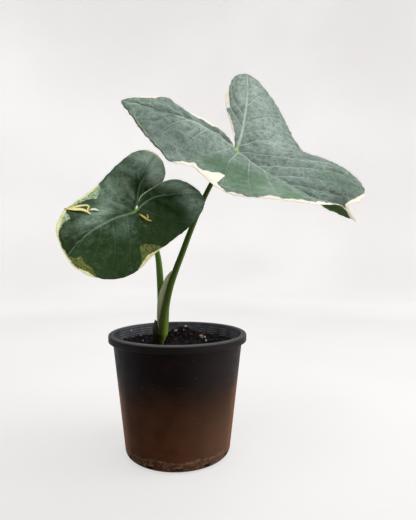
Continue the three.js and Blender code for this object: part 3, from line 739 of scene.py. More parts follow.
def blade_grid(leaf):
    """Both halves of a blade as one skin of triangles, and what is known of each corner."""
    facing = blade_normal(leaf)
    even = np.linspace(0, 1, leaf["rings"] + 1)
    out = even - 0.07 * np.sin(2 * np.pi * even)
    corners, faces, notes = [], [], []
    count = 0
    for side in (0, 1):
        marks, patch = leaf["marks"][side], leaf["cream"][side]
        for part, rows in enumerate(leaf["rows"][side]):
            place = np.linspace(marks[part], marks[part + 1], rows + 1)
            grid, length = on_blade(leaf, side, place[:, None], out[None], part == 3)
            triangles = grid_faces(rows + 1, len(out))
            flat = grid.reshape(-1, 3)
            if face_normals(flat, triangles).sum(0) @ facing < 0:
                triangles = triangles[:, ::-1]
            depth = (1 - out)[None] * length
            leaned = place[:, None] - patch["lean"] * depth
            cream, mottle = depth_at(patch["cream"], leaned), depth_at(patch["mottle"], leaned)
            foot = np.interp(place, marks, FOOT_SHARES)
            known = (side, place[:, None], out[None], depth, cream, mottle, foot[:, None])
            notes.append(np.stack(np.broadcast_arrays(*known), -1).reshape(-1, len(known)))
            corners.append(flat)
            faces.append(triangles + count)
            count += len(flat)
    corners, faces, notes = np.concatenate(corners), np.concatenate(faces), np.concatenate(notes)
    _, first, join = np.unique(np.round(corners, 3), axis=0, return_index=True, return_inverse=True)
    faces = join.reshape(-1)[faces]
    whole = (faces[:, 0] != faces[:, 1]) & (faces[:, 1] != faces[:, 2]) & (faces[:, 2] != faces[:, 0])
    names = ("side", "place", "out", "depth", "cream", "mottle", "foot")
    return corners[first], faces[whole], dict(zip(names, notes[first].T))


def neighbours(faces, count):
    """Each edge both ways, and how many corners each corner is joined to."""
    both = edges_of(faces)
    both = np.unique(np.concatenate([both, both[:, ::-1]]), axis=0)
    return both, np.bincount(both[:, 0], minlength=count)


def neighbour_mean(vectors, edges, degree):
    """For each corner, the mean of its neighbours' vectors."""
    total = [np.bincount(edges[:, 0], vectors[edges[:, 1], axis], len(vectors)) for axis in range(3)]
    return np.stack(total, -1) / degree[:, None]


def softened(corners, faces, free, times):
    """Draws each free corner half way to the middle of its neighbours, several times."""
    edges, degree = neighbours(faces, len(corners))
    for _ in range(times):
        corners = corners + 0.5 * free[:, None] * (neighbour_mean(corners, edges, degree) - corners)
    return corners


def corner_normals(corners, faces):
    """Each corner's normal: the mean of its triangles' normals, weighed by their areas."""
    face = face_normals(corners, faces)
    return unit(np.stack([
        sum(np.bincount(faces[:, k], face[:, axis], len(corners)) for k in range(3)) for axis in range(3)
    ], -1))


def evened(normals, faces):
    """Normals drawn towards their neighbours' mean, so that two skins set apart along them don't
    cross where the blade is sharply folded."""
    edges, degree = neighbours(faces, len(normals))
    for _ in range(NORMAL_TIMES):
        normals = unit(0.5 * normals + 0.5 * neighbour_mean(normals, edges, degree))
    return normals


def beside(points, line, up, widths):
    """How far points lie from a line, and how far beside it, left of its run being positive, both
    in the line's half width, which goes from the first width to the second. Last, how far they
    lie from it in millimetres."""
    begin, run = line[:-1], np.diff(line, axis=0)
    share = ((points[:, None] - begin) * run).sum(-1) / (run**2).sum(-1)
    share = np.clip(share, 0, 1)
    off = points[:, None] - begin - share[..., None] * run
    away = np.linalg.norm(off, axis=-1)
    nearest = away.argmin(1)
    pick = (np.arange(len(points)), nearest)
    left = unit(np.cross(up, run))[nearest]
    half = np.interp(nearest + share[pick], (0, len(run)), widths)
    return away[pick] / half, (off[pick] * left).sum(-1) / half, away[pick]


def traced(leaf, half, path, count, ahead=0.0):
    """A line of so many points on the blade, through measured ones of place and out."""
    path = np.array(path, float)
    steps, turns = np.linspace(0, len(path) - 1, count), np.arange(len(path))
    place, out = (np.interp(steps, turns, path[:, axis]) for axis in (0, 1))
    return on_blade(leaf, half, place + ahead, out)[0]


def close_to(line, corners):
    """The numbers of the corners in a box round a line."""
    box = (corners > line.min(0) - LINE_REACH) & (corners < line.max(0) + LINE_REACH)
    return np.flatnonzero(box.all(1))


def vein_values(leaf, corners):
    """For each corner: its distance from the three ribs in half widths, from the nearest lesser
    vein, also signed by its side, and from any of them in millimetres."""
    rib, vein, side, near = np.full((4, len(corners)), FAR)
    for number, (half, path, widths) in enumerate(leaf["veins"]):
        line = traced(leaf, half, path, 40, 1e-6)
        line = line[np.append(True, np.linalg.norm(np.diff(line, axis=0), axis=1) > 1e-4)]
        inside = close_to(line, corners)
        away, aside, far = beside(corners[inside], line, blade_normal(leaf), widths)
        near[inside] = np.minimum(near[inside], far)
        if number < 3:
            rib[inside] = np.minimum(rib[inside], away)
        else:
            closer = away < vein[inside]
            vein[inside[closer]] = away[closer]
            side[inside[closer]] = aside[closer]
    return rib, vein, side, near


def tones(leaf, corners, key):
    """A base level and soft round spots at points of the blade, 0 to 1."""
    level, spots = leaf["tones"][key]
    total = np.full(len(corners), level)
    for half, place, out, reach, amount in spots:
        middle, _ = on_blade(leaf, half, place, out)
        total += amount * np.exp(-(((corners - middle) ** 2).sum(1)) / reach**2)
    return np.clip(total, 0, 1)


def drawn(leaf, corners, lines):
    """Narrow soft lines, 0 to 1, along points of the blade."""
    total = np.zeros(len(corners))
    for points, reach, amount in lines:
        line = traced(leaf, points[0][0], [point[1:] for point in points], 24)
        inside = close_to(line, corners)
        far = beside(corners[inside], line, blade_normal(leaf), (1, 1))[2]
        total[inside] = np.maximum(total[inside], amount * np.exp(-((far / reach) ** 2)))
    return total


def thin_body(upper, lower, faces):
    """Closes two skins that share their triangles with a strip round their rim."""
    count = len(upper)
    edges = edges_of(faces)
    rim = edges[~np.isin(edges @ (count, 1), edges @ (1, count))]
    a, b = rim.T
    strip = np.concatenate([np.stack([b, a, a + count], -1), np.stack([b, a + count, b + count], -1)])
    return np.concatenate([upper, lower]), np.concatenate([faces, faces[:, ::-1] + count, strip])


def sheet(surface, thickness):
    """A thin closed body over a grid of points, half its thickness to each side of them."""
    across, down = np.gradient(surface, axis=1), np.gradient(surface, axis=0)
    lift = unit(np.cross(across, down)) * thickness / 2
    upper, lower = (surface + lift).reshape(-1, 3), (surface - lift).reshape(-1, 3)
    return thin_body(upper, lower, grid_faces(*surface.shape[:2]))


def ragged(leaf, corners, depth, seed):
    """Shifts the last few millimetres to the margin about in the blade's own plane."""
    up = blade_normal(leaf)
    first = unit(np.cross(up, (0, 0, 1)))
    second = np.cross(up, first)
    shift = waves(corners, 7.0, seed)[:, None] * first + waves(corners, 7.0, seed + 1)[:, None] * second
    return corners + leaf["ragged"] * (1 - ramp(depth, 0.0, 5.0))[:, None] * shift


def rolled(leaf, notes):
    """A pale line, 0 to 1, painted as a highlight along the ridge of the rolled margin, and -1 to 0
    outside it, where the margin is painted into shade.
    """
    start, end, ridge = leaf["roll"]
    place, depth = notes["place"], notes["depth"]
    along = (notes["side"] > 0.5) * ramp(place, start, start + 0.6) * (1 - ramp(place, end - 0.5, end))
    return along * (np.exp(-(((depth - ridge) / 0.5) ** 2)) - (1 - ramp(depth, 0.0, ridge)))


def folded(leaf, notes):
    """The near lobe's outer margin rolls down over its last few millimetres."""
    near = (notes["side"] > 0.5) * ramp(notes["place"], 8.0, 8.8) * (1 - ramp(notes["place"], 11.6, 12.1))
    return -leaf["fold"] * near * (1 - ramp(notes["depth"], 0.0, 2.8))


def blade_piece(name, leaf, material, seed):
    """A blade: its grid softened inside the margin, then raised between the veins, sunk along
    them, rippled near the margin and given a thickness with keels under the ribs."""
    corners, faces, notes = blade_grid(leaf)
    rib, vein, side, near = vein_values(leaf, corners)
    corners = ragged(leaf, corners, notes["depth"], seed + 5)
    inner = ramp(notes["depth"], 0.0, 4.0)
    corners = softened(corners, faces, inner, leaf["softening"])
    rib_end = ramp(notes["foot"], 0.45, 0.7) * (1 - ramp(notes["out"], 0.15, 0.45))
    corners = softened(corners, faces, inner * rib_end, RIB_END_TIMES)
    normal = evened(corner_normals(corners, faces), faces)
    pillow = 1 - np.exp(-((near / 3.2) ** 2))
    relief = leaf["pillow"] * pillow * inner - RIB_FURROW * np.exp(-((rib / 1.1) ** 2)) * inner
    relief += sum(rise * waves(corners, size, seed + more) for rise, size, more in UNEVENNESS) * inner
    ripple = RIPPLE * waves(corners, 9.0, seed + 1)
    relief += ripple * (1 - ramp(notes["depth"], 0.0, 9.0)) * ramp(notes["depth"], -1, 3)
    crease = drawn(leaf, corners, leaf["creases"])
    relief += folded(leaf, notes) - crease * inner
    upper = corners + normal * relief[:, None]
    joint_away = np.linalg.norm(corners - np.array(leaf["joint"]), axis=1)
    fading = 1 - ramp(joint_away, 10, leaf["keel_end"])
    keel = KEEL_DEPTH * np.exp(-((rib / 1.2) ** 2)) * inner * fading * (1 - rib_end)
    down = evened(corner_normals(upper, faces), faces)
    lower = upper - down * (BLADE_THICKNESS * (0.5 + 0.5 * inner) + keel)[:, None]
    body, triangles = thin_body(upper, lower, faces)
    values = {
        "rib": np.minimum(rib, 6),
        "vein": np.minimum(vein, 6),
        "vein_side": np.clip(side, -6, 6),
        "margin_depth": np.minimum(notes["depth"], 60),
        "cream_depth": notes["cream"],
        "mottle_depth": notes["mottle"],
        "joint_away": joint_away,
        # Tones: the grey of the waxy coat with a painted sheen, painted highlights and sheen with the
        # strokes, and painted shade in spots and along the creases
        "bloom_and_sheen": tones(leaf, corners, "bloom_and_sheen"),
        "light": np.maximum(tones(leaf, corners, "light"), drawn(leaf, corners, leaf["strokes"])),
        "painted_shade": np.maximum(tones(leaf, corners, "painted_shade"), crease),
        "roll": rolled(leaf, notes),
        "olive": ramp(notes["side"], 0.4, 0.6),
    }
    values = {key: np.tile(number, 2) for key, number in values.items()}
    values["under"] = np.repeat([0.0, 1.0], len(upper))
    return mesh_piece(name, body, triangles, material, values)


def leaf_material(name, looks):
    """Green with paler veins and a fine net between them, grey where the waxy coat lies with a painted
    sheen over it, lighter in flecks, and in painted highlights and sheen in spots and along strokes,
    darker in blotches, and in painted shade beside the veins, in spots and along the creases, with a
    pale line painted as a highlight on the rolled margin's ridge and painted shade outside it, and
    mottled and cream along the margin as deep as the corners say. The underside shows only green,
    veins and cream."""
    material, tree = new_material(name, {"IOR": 1.45, "Specular IOR Level": looks["shine"]})
    wax_and_sheen, from_rib, from_vein = (value_of(tree, key) for key in ("bloom_and_sheen", "rib", "vein_side"))
    rib = from_rib.ramp(0.35, 1.25, 1.0, 0.0)
    line = from_vein.math("ABSOLUTE").ramp(0.3, 1.3, 1.0, 0.0)
    line *= value_of(tree, "vein").ramp(1.6, 2.6, 1.0, 0.0)
    line *= grain(tree, 16.0, 0.3, 0.7).ramp(0.0, 1.0, 0.45, 1.0)
    line *= wax_and_sheen.ramp(0.0, 0.6, looks["plain_vein"], 1.0)
    veins = rib.math("MAXIMUM", line * looks["vein_share"])
    fine = net(tree, looks["net_size"], 0.14) * grain(tree, 9.0)
    wide = net(tree, 2.1 * looks["net_size"], 0.09) * grain(tree, 14.0, 0.3, 0.6)
    fine = fine.math("MAXIMUM", wide) * wax_and_sheen.ramp(0.1, 0.7, 0.2, 1.0)

    patchy = (grain(tree, 10.0, 0.2, 0.8) - 0.5) * 0.45
    # The waxy coat's grey, with a painted sheen over it
    green = mix((wax_and_sheen + patchy).ramp(0.0, 1.0), looks["green"], looks["bloom_and_sheen"])
    # Painted highlights and sheen, in spots and along the strokes
    green = mix(value_of(tree, "light"), green, looks["light"])
    flecks = grain(tree, 3.4, 0.5, 0.72) * grain(tree, 12.0, 0.3, 0.7) * wax_and_sheen.ramp(0.1, 0.7)
    green = mix(flecks * looks["fleck_share"], green, looks["light"])
    blotch_and_shade = grain(tree, 6.5, 0.4, 0.62) * grain(tree, 2.0, 0.3, 0.6) * wax_and_sheen.ramp(0.1, 0.7, 0.45, 1.0)
    # Painted shade beside the veins and the ribs, laid in with the blotches
    painted_shade_beside_veins = from_vein.ramp(0.9, 1.9) * from_vein.ramp(5.6, 2.0)
    painted_shade_beside_rib = from_rib.ramp(1.1, 1.7) * from_rib.ramp(5.6, 2.0)
    blotch_and_shade = blotch_and_shade.math("MAXIMUM", painted_shade_beside_veins.math("MAXIMUM", painted_shade_beside_rib) * 0.7)
    green = mix(blotch_and_shade * looks["blotch_and_shade_share"], green, looks["shade"])
    green = mix(fine * looks["net_share"], green, looks["vein"])
    green = mix(veins * looks["rib_share"], green, looks["vein"])
    green = mix(rib * value_of(tree, "joint_away").ramp(3.0, 8.0, 1.0, 0.0), green, looks["joint"])
    # Painted shade in darker spots and along the creases
    green = mix(value_of(tree, "painted_shade") * 0.75, green, looks["painted_shade"])
    roll = value_of(tree, "roll")
    # Painted highlight on the rolled margin's ridge, and painted shade outside it
    green = mix(roll.ramp(0.1, 0.9, 0.0, 0.8), green, looks["roll"])
    green = mix(roll.ramp(-0.2, -0.9, 0.0, 0.6), green, looks["painted_shade"])

    depth, olive = value_of(tree, "margin_depth"), value_of(tree, "olive")
    rough = (grain(tree, 2.2, 0.2, 0.8) - 0.5) * 0.9
    mottle = (value_of(tree, "mottle_depth") - depth + rough).ramp(-0.3, 0.5)
    light = mix(olive, looks["mottle"], looks["olive"])
    shaded = mix(olive, looks["mottle_dark"], looks["olive_dark"])
    green = mix(mottle * 0.92, green, mix(grain(tree, 1.7, 0.4, 0.6), light, shaded))
    cream = (value_of(tree, "cream_depth") - depth + rough).ramp(-0.35, 0.35)
    pale = mix(grain(tree, 4.0, 0.45, 0.8), looks["cream"], looks["cream_dark"])
    pale = mix(depth.ramp(0.2, 1.1, 0.8, 0.0), pale, looks["cream_edge"])
    back = mix(cream, mix(veins, looks["under"], looks["under_vein"]), looks["cream"])
    base = mix(value_of(tree, "under"), mix(cream, green, pale), back)
    roughness = grain(tree, 6.0, 0.2, 0.8).ramp(0.0, 1.0, *looks["gloss"])
    height = fine * -0.5 + grain(tree, 1.4, 0.2, 0.8) + grain(tree, 3.2, 0.2, 0.8) * 1.5 - line * 1.5
    return dress(material, base, roughness, height, 0.16)


# Looks: the bloom colour is the grey of the waxy coat with a painted sheen; the light colour serves
# painted highlights and sheen and pale flecks; the darkest green is painted shade; the shade colour
# serves blotches and painted shade beside the veins; the roll colour is the painted highlight on the
# rolled margin's ridge.
LARGE_LOOKS = {
    "green": "#4d7350", "bloom_and_sheen": "#71837a", "light": "#b8c8be", "shade": "#3c5446",
    "vein": "#b3c5b4", "joint": "#a8c86a", "painted_shade": "#23392a", "roll": "#aebfa0",
    "mottle": "#a3b58f", "mottle_dark": "#7d9a74", "olive": "#a3b58f", "olive_dark": "#7d9a74",
    "cream": "#f8f3e2", "cream_dark": "#f3e8cb", "cream_edge": "#f0d9c0",
    "under": "#33501f", "under_vein": "#5f7e3c",
    "net_share": 0.3, "net_size": 5.0, "vein_share": 0.85, "rib_share": 0.9, "plain_vein": 0.22,
    "fleck_share": 0.28, "blotch_and_shade_share": 0.62, "gloss": (0.42, 0.55), "shine": 0.4,
}
SMALL_LOOKS = {
    "green": "#223d10", "bloom_and_sheen": "#64806c", "light": "#b6d0bc", "shade": "#15260b",
    "vein": "#93b296", "joint": "#6b8f3c", "painted_shade": "#13220c", "roll": "#c2d8b6",
    "mottle": "#c2d2b0", "mottle_dark": "#78986c", "olive": "#7a7f40", "olive_dark": "#4c5826",
    "cream": "#f3eeb8", "cream_dark": "#dccb84", "cream_edge": "#d2dc92",
    "under": "#274019", "under_vein": "#51702f",
    "net_share": 0.2, "net_size": 4.0, "vein_share": 0.7, "rib_share": 0.48, "plain_vein": 0.3,
    "fleck_share": 0.16, "blotch_and_shade_share": 0.55, "gloss": (0.36, 0.48), "shine": 0.25,
}

large_skin = leaf_material("large_leaf", LARGE_LOOKS)
large_blade = blade_piece("large_blade", LARGE_LEAF, large_skin, 11)
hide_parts("leaf_large")
small_skin = leaf_material("small_leaf", SMALL_LOOKS)
small_blade = blade_piece("small_blade", SMALL_LEAF, small_skin, 23)
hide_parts("leaf_small")


# The small leaf's outgrowths


def ribbon_material(name, root, body, tip):
    """One colour at the root, one along the body and one at the tip, with faint specks."""
    material, tree = new_material(name, {"IOR": 1.45})
    along = value_of(tree, "along")
    base = mix(along.ramp(0.0, 0.25), root, body)
    base = mix(along.ramp(0.75, 1.0), base, tip)
    base = mix(grain(tree, 1.8, 0.45, 0.7) * 0.2, base, root)
    return dress(material, base, along.ramp(0.0, 1.0, 0.5, 0.6), grain(tree, 0.9), 0.06)


def ribbon(name, material):
    """A narrow strip along a smooth line through its points, as wide as stated, that faces up and
    to the front, and cups a little."""
    points, widths = RIBBONS[name]
    steps, across = np.linspace(0, 1, 40), np.linspace(-1, 1, 7)
    line = np.array(SMALL_LEAF["joint"], float) + smooth_line(points, steps)
    half = np.interp(steps, np.linspace(0, 1, len(widths)), widths)
    along = unit(np.gradient(line, axis=0))
    wide = unit(np.cross((0, -0.8, 0.6), along))
    cup = np.cross(along, wide) * 0.35
    spread = across[:, None] * wide[:, None] - (1 - across**2)[:, None] * cup[:, None]
    corners, faces = sheet(line[:, None] + half[:, None, None] * spread, MEMBRANE_THICKNESS)
    along_it = {"along": np.tile(np.repeat(steps, len(across)), 2)}
    piece = mesh_piece(name, corners, faces, material, along_it)
    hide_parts("leaf_small")


yellow_skin = ribbon_material("yellow_outgrowth", "#b0b25c", "#fcf0a2", "#f0df84")
white_skin = ribbon_material("white_outgrowth", "#c9cfa0", "#f4f1dc", "#efe9c8")
amber_skin = ribbon_material("amber_outgrowth", "#8a8f3c", "#d2bf62", "#c39b4c")
ribbon("ribbon_upper", yellow_skin)
ribbon("ribbon_lower", yellow_skin)
ribbon("flap_white", white_skin)
ribbon("flap_amber", amber_skin)
ribbon("flap_amber_fork", amber_skin)


# Petioles and sheaths


def petiole_end(leaf):
    """The last two points of a petiole, square to the blade, up to its underside."""
    joint, normal = np.array(leaf["joint"], float), blade_normal(leaf)
    return joint - 4 * normal, joint - 0.7 * normal


LARGE_PETIOLE = [
    (*LARGE_FOOT, STEM_FOOT), (*LARGE_FOOT, 104), (-13.9, -6, 118), (-11.7, -5.6, 137), (-6.8, -5, 160),
    (-1.1, -4.4, 177), (3.9, -4, 190), (13.7, -3.4, 216), (30.5, -2, 254.5), (45, 0, 277),
    *petiole_end(LARGE_LEAF),
]
SMALL_PETIOLE = [
    (*SMALL_FOOT, STEM_FOOT), (*SMALL_FOOT, 112), (-17.3, 3, 130), (-16.8, 0, 150), (-16.9, -7, 172),
    (-18, -17, 191), (-22.5, -29, 209), (-29, -38, 220), *petiole_end(SMALL_LEAF),
]
# The edge of the large petiole's sheath: x and height, at WING_DEPTH along y
WING_EDGE = [
    (-5.8, 174.6), (-11.2, 168.1), (-14.1, 161.6), (-17.1, 153.9), (-18.9, 145.8), (-19.3, 138.4),
    (-19.4, 130), (-17.8, 119), (-14.8, 107),
]
WING_DEPTH = -7.5
# Where the old sheath starts, in the soil
SHEATH_FOOT = 98.5


def petiole_material(name, green, painted_light_streak, foot, top):
    """Green, painted lighter along the right side as painted light from that side, yellow-green near
    the soil, shown on the lit right side only, with fine lengthwise lines.
    """
    material, tree = new_material(name, {"IOR": 1.45, "Specular IOR Level": 0.25})
    height, right = axes_of(tree)[2], value_of(tree, "right")
    lines = grain(tree, 1.0, 0.3, 0.7, stretched(tree, 1, 1, 14))
    # Painted light along the right side; the yellow-green foot shows only on that lit side
    base = mix(right.ramp(0.1, 0.9), green, painted_light_streak)
    base = mix(height.ramp(0.15, 0.106) * right.ramp(-0.3, 0.75), base, foot)
    base = mix(height.ramp(0.24, 0.28), base, top)
    base = mix(lines * 0.3, base, green)
    return dress(material, base, lines.ramp(0.0, 1.0, 0.4, 0.5), lines, 0.1)


def petiole(name, points, radius, material, rings, spokes):
    """A round stalk with five faint ridges along a smooth line, at a radius for each height."""
    line = smooth_line(points, np.linspace(0, 1, rings))
    angle = even_angles(spokes)
    size = radius(line[:, 2])[:, None] * (1 + 0.02 * np.sin(5 * angle)[None])
    corners, faces = tube(line, (1.0, 0.0, 0.0), size)
    right = np.append(np.tile(np.cos(angle), rings), (0, 0))
    return mesh_piece(name, corners, faces, material, {"right": right}, sharp=60)


def large_radius(z):
    """The large stalk's radius at a height: thin in the soil, swollen over it, then tapering."""
    foot = 3.2 * (1 - ramp(z, 104, 116))
    swell = 0.55 * ramp(z, 103, 114) * (1 - ramp(z, 124, 142))
    taper = 1.15 * ramp(z, 120, 150)
    return 4.3 - foot + swell - taper - 0.85 * ramp(z, 150, 270) - 0.4 * ramp(z, 280, 288)


def small_radius(z):
    """The small stalk's radius at a height. It narrows from the middle up."""
    return 3.2 - 1.3 * ramp(z, 165, 215)


# Each stalk's second colour is painted light along its right side
large_green = petiole_material("petiole", "#3c4e14", "#5a8220", "#9ab742", "#46601f")
large_stalk = petiole("large_stalk", LARGE_PETIOLE, large_radius, large_green, 220, 40)
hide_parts("petiole_large")
small_green = petiole_material("petiole_behind", "#486a1c", "#6a9432", "#76962e", "#4f6e28")
small_stalk = petiole("small_stalk", SMALL_PETIOLE, small_radius, small_green, 160, 32)
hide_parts("petiole_small")


def wing():
    """The thin edge of the large petiole's sheath: a sheet from inside the stalk's left side out
    to its measured edge, waved a little and cupped to the front."""
    rows, columns = 90, 14
    edge = smooth_line([(x, WING_DEPTH, z) for x, z in WING_EDGE], np.linspace(0, 1, rows))
    stalk = smooth_line(LARGE_PETIOLE, np.linspace(0, 1, 600))
    inner = np.stack([np.interp(edge[:, 2], stalk[:, 2], stalk[:, axis]) for axis in range(3)], -1)
    inner[:, 0] -= 0.6 * large_radius(edge[:, 2])
    share = np.linspace(0, 1, columns)
    surface = inner[:, None] + share[None, :, None] * (edge - inner)[:, None]
    surface[..., 1] -= 1.2 * np.sin(np.pi * share) + 0.3 * np.sin(edge[:, 2] / 3.1)[:, None] * share
    corners, faces = sheet(surface, MEMBRANE_THICKNESS)
    return corners, faces, np.tile(np.tile(share, rows), 2)


def membrane_material(name, near, far, edge, foot):
    """Thin skin with lengthwise fibres: one colour near its root, others further out, at its
    free edge and near the soil. Out runs from 0 at the root to 1 at the edge."""
    material, tree = new_material(name, {"IOR": 1.4})
    out = value_of(tree, "out")
    fibres = grain(tree, 0.8, 0.3, 0.7, stretched(tree, 1, 1, 18))
    base = mix(out.ramp(0.1, 0.6), near, far)
    base = mix(out.ramp(0.8, 1.0), base, edge)
    base = mix(axes_of(tree)[2].ramp(0.155, 0.11, 0.0, 0.85), base, foot)
    base = mix(fibres * 0.4, base, near)
    return dress(material, base, fibres.ramp(0.0, 1.0, 0.45, 0.6), fibres, 0.08)


corners, faces, out = wing()
wing_skin = membrane_material("sheath_membrane", "#87966a", "#b2bc90", "#c4caa6", "#5b6b3c")
wing_piece = mesh_piece("sheath_wing", corners, faces, wing_skin, {"out": out})
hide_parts("petiole_large")


def old_sheath():
    """The dry strip left by a fallen leaf: an upright part of a cylinder round the stem, narrower
    towards its top, torn along its upper edge."""
    rows, columns = 46, 40
    up, turn = np.linspace(0, 1, rows)[:, None], np.linspace(-1, 1, columns)[None]
    front = ramp(turn, 0, 1)
    angle = OLD_SHEATH_DIRECTION + turn * (1.05 - 0.45 * up + front * (0.35 + 0.4 * up))
    radius = 6.4 + 2.5 * ramp(up, 0.05, 0.6) - 2.2 * ramp(up, 0.72, 1.0) - 1.6 * front**2
    radius = radius + 0.15 * np.sin(7 * turn) * up
    radius = radius + ramp(-turn, 0.0, 0.4) * np.maximum(7.7 - radius, 0)
    torn = 0.4 * np.sin(9 * turn + 1) + 0.15 * np.sin(23 * turn)
    top = OLD_SHEATH_TOP - 4.5 * np.abs(turn - 0.35) ** 1.5 + torn * 0.4
    surface = turned(radius, angle, SHEATH_FOOT + (top - SHEATH_FOOT) * up) + (*OLD_SHEATH_CENTRE, 0)
    corners, faces = sheet(surface, OLD_SHEATH_THICKNESS)
    return corners, faces, np.tile(np.broadcast_to(up, (rows, columns)).ravel(), 2)


corners, faces, out = old_sheath()
dry_skin = membrane_material("dry_skin", "#25200d", "#3a331a", "#5f4a36", "#2a2610")
dry_sheath = mesh_piece("dry_sheath", corners, faces, dry_skin, {"out": out})
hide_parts("old_sheath")


# The pot

# The wall's columns, how many of them a drain hole takes, and the spacing of the faint rings
# inside, in millimetres
COLUMNS = 192
HOLE_COLUMNS = 4
RING_PITCH = 2.4
# Heights in metres, for the material: where the painted brown reflection gives way to black, where
# the lip starts to look paler at its foot, and where a painted highlight starts along its top
BLACK_EDGE = (0.061, 0.088)
LIP_FOOT = (0.1072, 0.109)
LIP_PAINTED_HIGHLIGHT = (0.1132, 0.1148)


def wall_radius(z):
    """The wall's outer radius at a height. The wall tapers evenly from the foot to the lip."""
    widening, tall = BODY_TOP_RADIUS - BASE_RADIUS, POT_HEIGHT - LIP_HEIGHT - BASE_CORNER
    return BASE_RADIUS + widening * (z - BASE_CORNER) / tall


def arc(centre, radius, start, end, steps):
    """Points of a section along an arc, between two angles in degrees."""
    angle = np.radians(np.linspace(start, end, steps))
    return np.stack([centre[0] + radius * np.cos(angle), centre[1] + radius * np.sin(angle)], -1)


def pot_profile():
    """The pot's section, from the middle of its underside out, up, over the lip and down inside.
    Heights of the drain holes' edges are points of it, on the outside and on the inside."""
    corner = (BASE_RADIUS - BASE_CORNER, BASE_CORNER)
    low = np.degrees(np.arcsin((DRAIN_FOOT - BASE_CORNER) / BASE_CORNER))
    under_lip = POT_HEIGHT - LIP_HEIGHT
    outside = np.concatenate([
        [(4, 0), (20, 0), (40, 0)],
        arc(corner, BASE_CORNER, -90, low, 7),
        arc(corner, BASE_CORNER, low, 0, 7)[1:],
        [(wall_radius(DRAIN_TOP), DRAIN_TOP)],
        [(wall_radius(z), z) for z in np.linspace(10, under_lip - 0.6, 44)],
    ])
    lip = np.concatenate([
        [(wall_radius(under_lip) + 0.3, under_lip - 0.1)],
        arc((RIM_RADIUS - 0.9, under_lip + 0.9), 0.9, -100, 0, 6),
        [(RIM_RADIUS, under_lip + 3)],
        arc((RIM_RADIUS - 1.7, POT_HEIGHT - 1.7), 1.7, 0, 90, 9),
        arc((61.9, POT_HEIGHT - 1.5), 1.5, 90, 175, 8),
    ])
    thin = BASE_CORNER - WALL
    low_inside = np.degrees(np.arcsin((DRAIN_FOOT - BASE_CORNER) / thin))
    ringed = np.linspace(112.6, 100, 44)
    inside = np.concatenate([
        [(wall_radius(z) - WALL - 0.1 * np.sin(2 * np.pi * z / RING_PITCH), z) for z in ringed],
        [(wall_radius(z) - WALL, z) for z in np.linspace(97, 10, 30)],
        [(wall_radius(DRAIN_TOP) - WALL, DRAIN_TOP)],
        arc(corner, thin, 0, low_inside, 7),
        [(43.4, FLOOR), (30, FLOOR), (4, FLOOR)],
    ])
    return outside, lip, inside


def pot_mesh():
    """A turned wall, a little out of round towards its top, with the drain holes left out of its
    outer and inner skins and walled through between them. Also a number for each corner, 1 on
    the inside."""
    outside, lip, inside = pot_profile()
    profile = np.concatenate([outside, lip, inside])
    column = np.arange(COLUMNS) + DRAIN_TURN * COLUMNS / DRAIN_HOLES - HOLE_COLUMNS / 2
    angle = column * 2 * np.pi / COLUMNS
    radius, height = profile.T
    wobble = 0.12 * waves(np.stack([np.cos(angle), np.sin(angle)], -1), 1.4, 5)
    spread = radius[:, None] + wobble * ramp(height, 20, 110)[:, None]
    shell = turned(spread, angle, height[:, None])
    rows, pitch = len(profile), COLUMNS // DRAIN_HOLES
    row, column = np.meshgrid(np.arange(rows - 1), np.arange(COLUMNS), indexing="ij")
    open_rows, hole_rows = np.zeros_like(row, bool), []
    for begin, end in ((0, len(outside)), (rows - len(inside), rows)):
        part = np.arange(begin, end)
        tall = part[(height[part] >= DRAIN_FOOT - 1e-6) & (height[part] <= DRAIN_TOP + 1e-6)]
        open_rows |= (row >= tall.min()) & (row < tall.max())
        hole_rows.append((tall.min(), tall.max()))
    quads = grid_quads(rows, COLUMNS, around=True)[~(open_rows & (column % pitch < HOLE_COLUMNS))]
    walls = np.concatenate([hole_walls(hole_rows, hole * pitch) for hole in range(DRAIN_HOLES)])
    corners = np.concatenate([shell.reshape(-1, 3), [(0, 0, 0), (0, 0, FLOOR)]])
    inner = np.repeat(ramp(np.arange(rows), rows - len(inside) - 6, rows - len(inside)), COLUMNS)
    faces = np.concatenate([split(quads), split(walls), end_fans(rows, COLUMNS)])
    return corners, faces, np.append(inner, (0, 1))


def hole_walls(hole_rows, column):
    """Four walls through one drain hole. Both skins' edges have the same number of corners."""
    (low, high), (top, foot) = hole_rows
    columns = np.arange(column, column + HOLE_COLUMNS + 1) % COLUMNS
    outer, inner = (
        np.concatenate([
            rows[0] * COLUMNS + columns[:-1], rows[:-1] * COLUMNS + columns[-1],
            rows[-1] * COLUMNS + columns[:0:-1], rows[:0:-1] * COLUMNS + columns[0],
        ])
        for rows in (np.arange(low, high + 1), np.arange(foot, top - 1, -1))
    )
    return np.stack([outer, np.roll(outer, -1), np.roll(inner, -1), inner], -1)


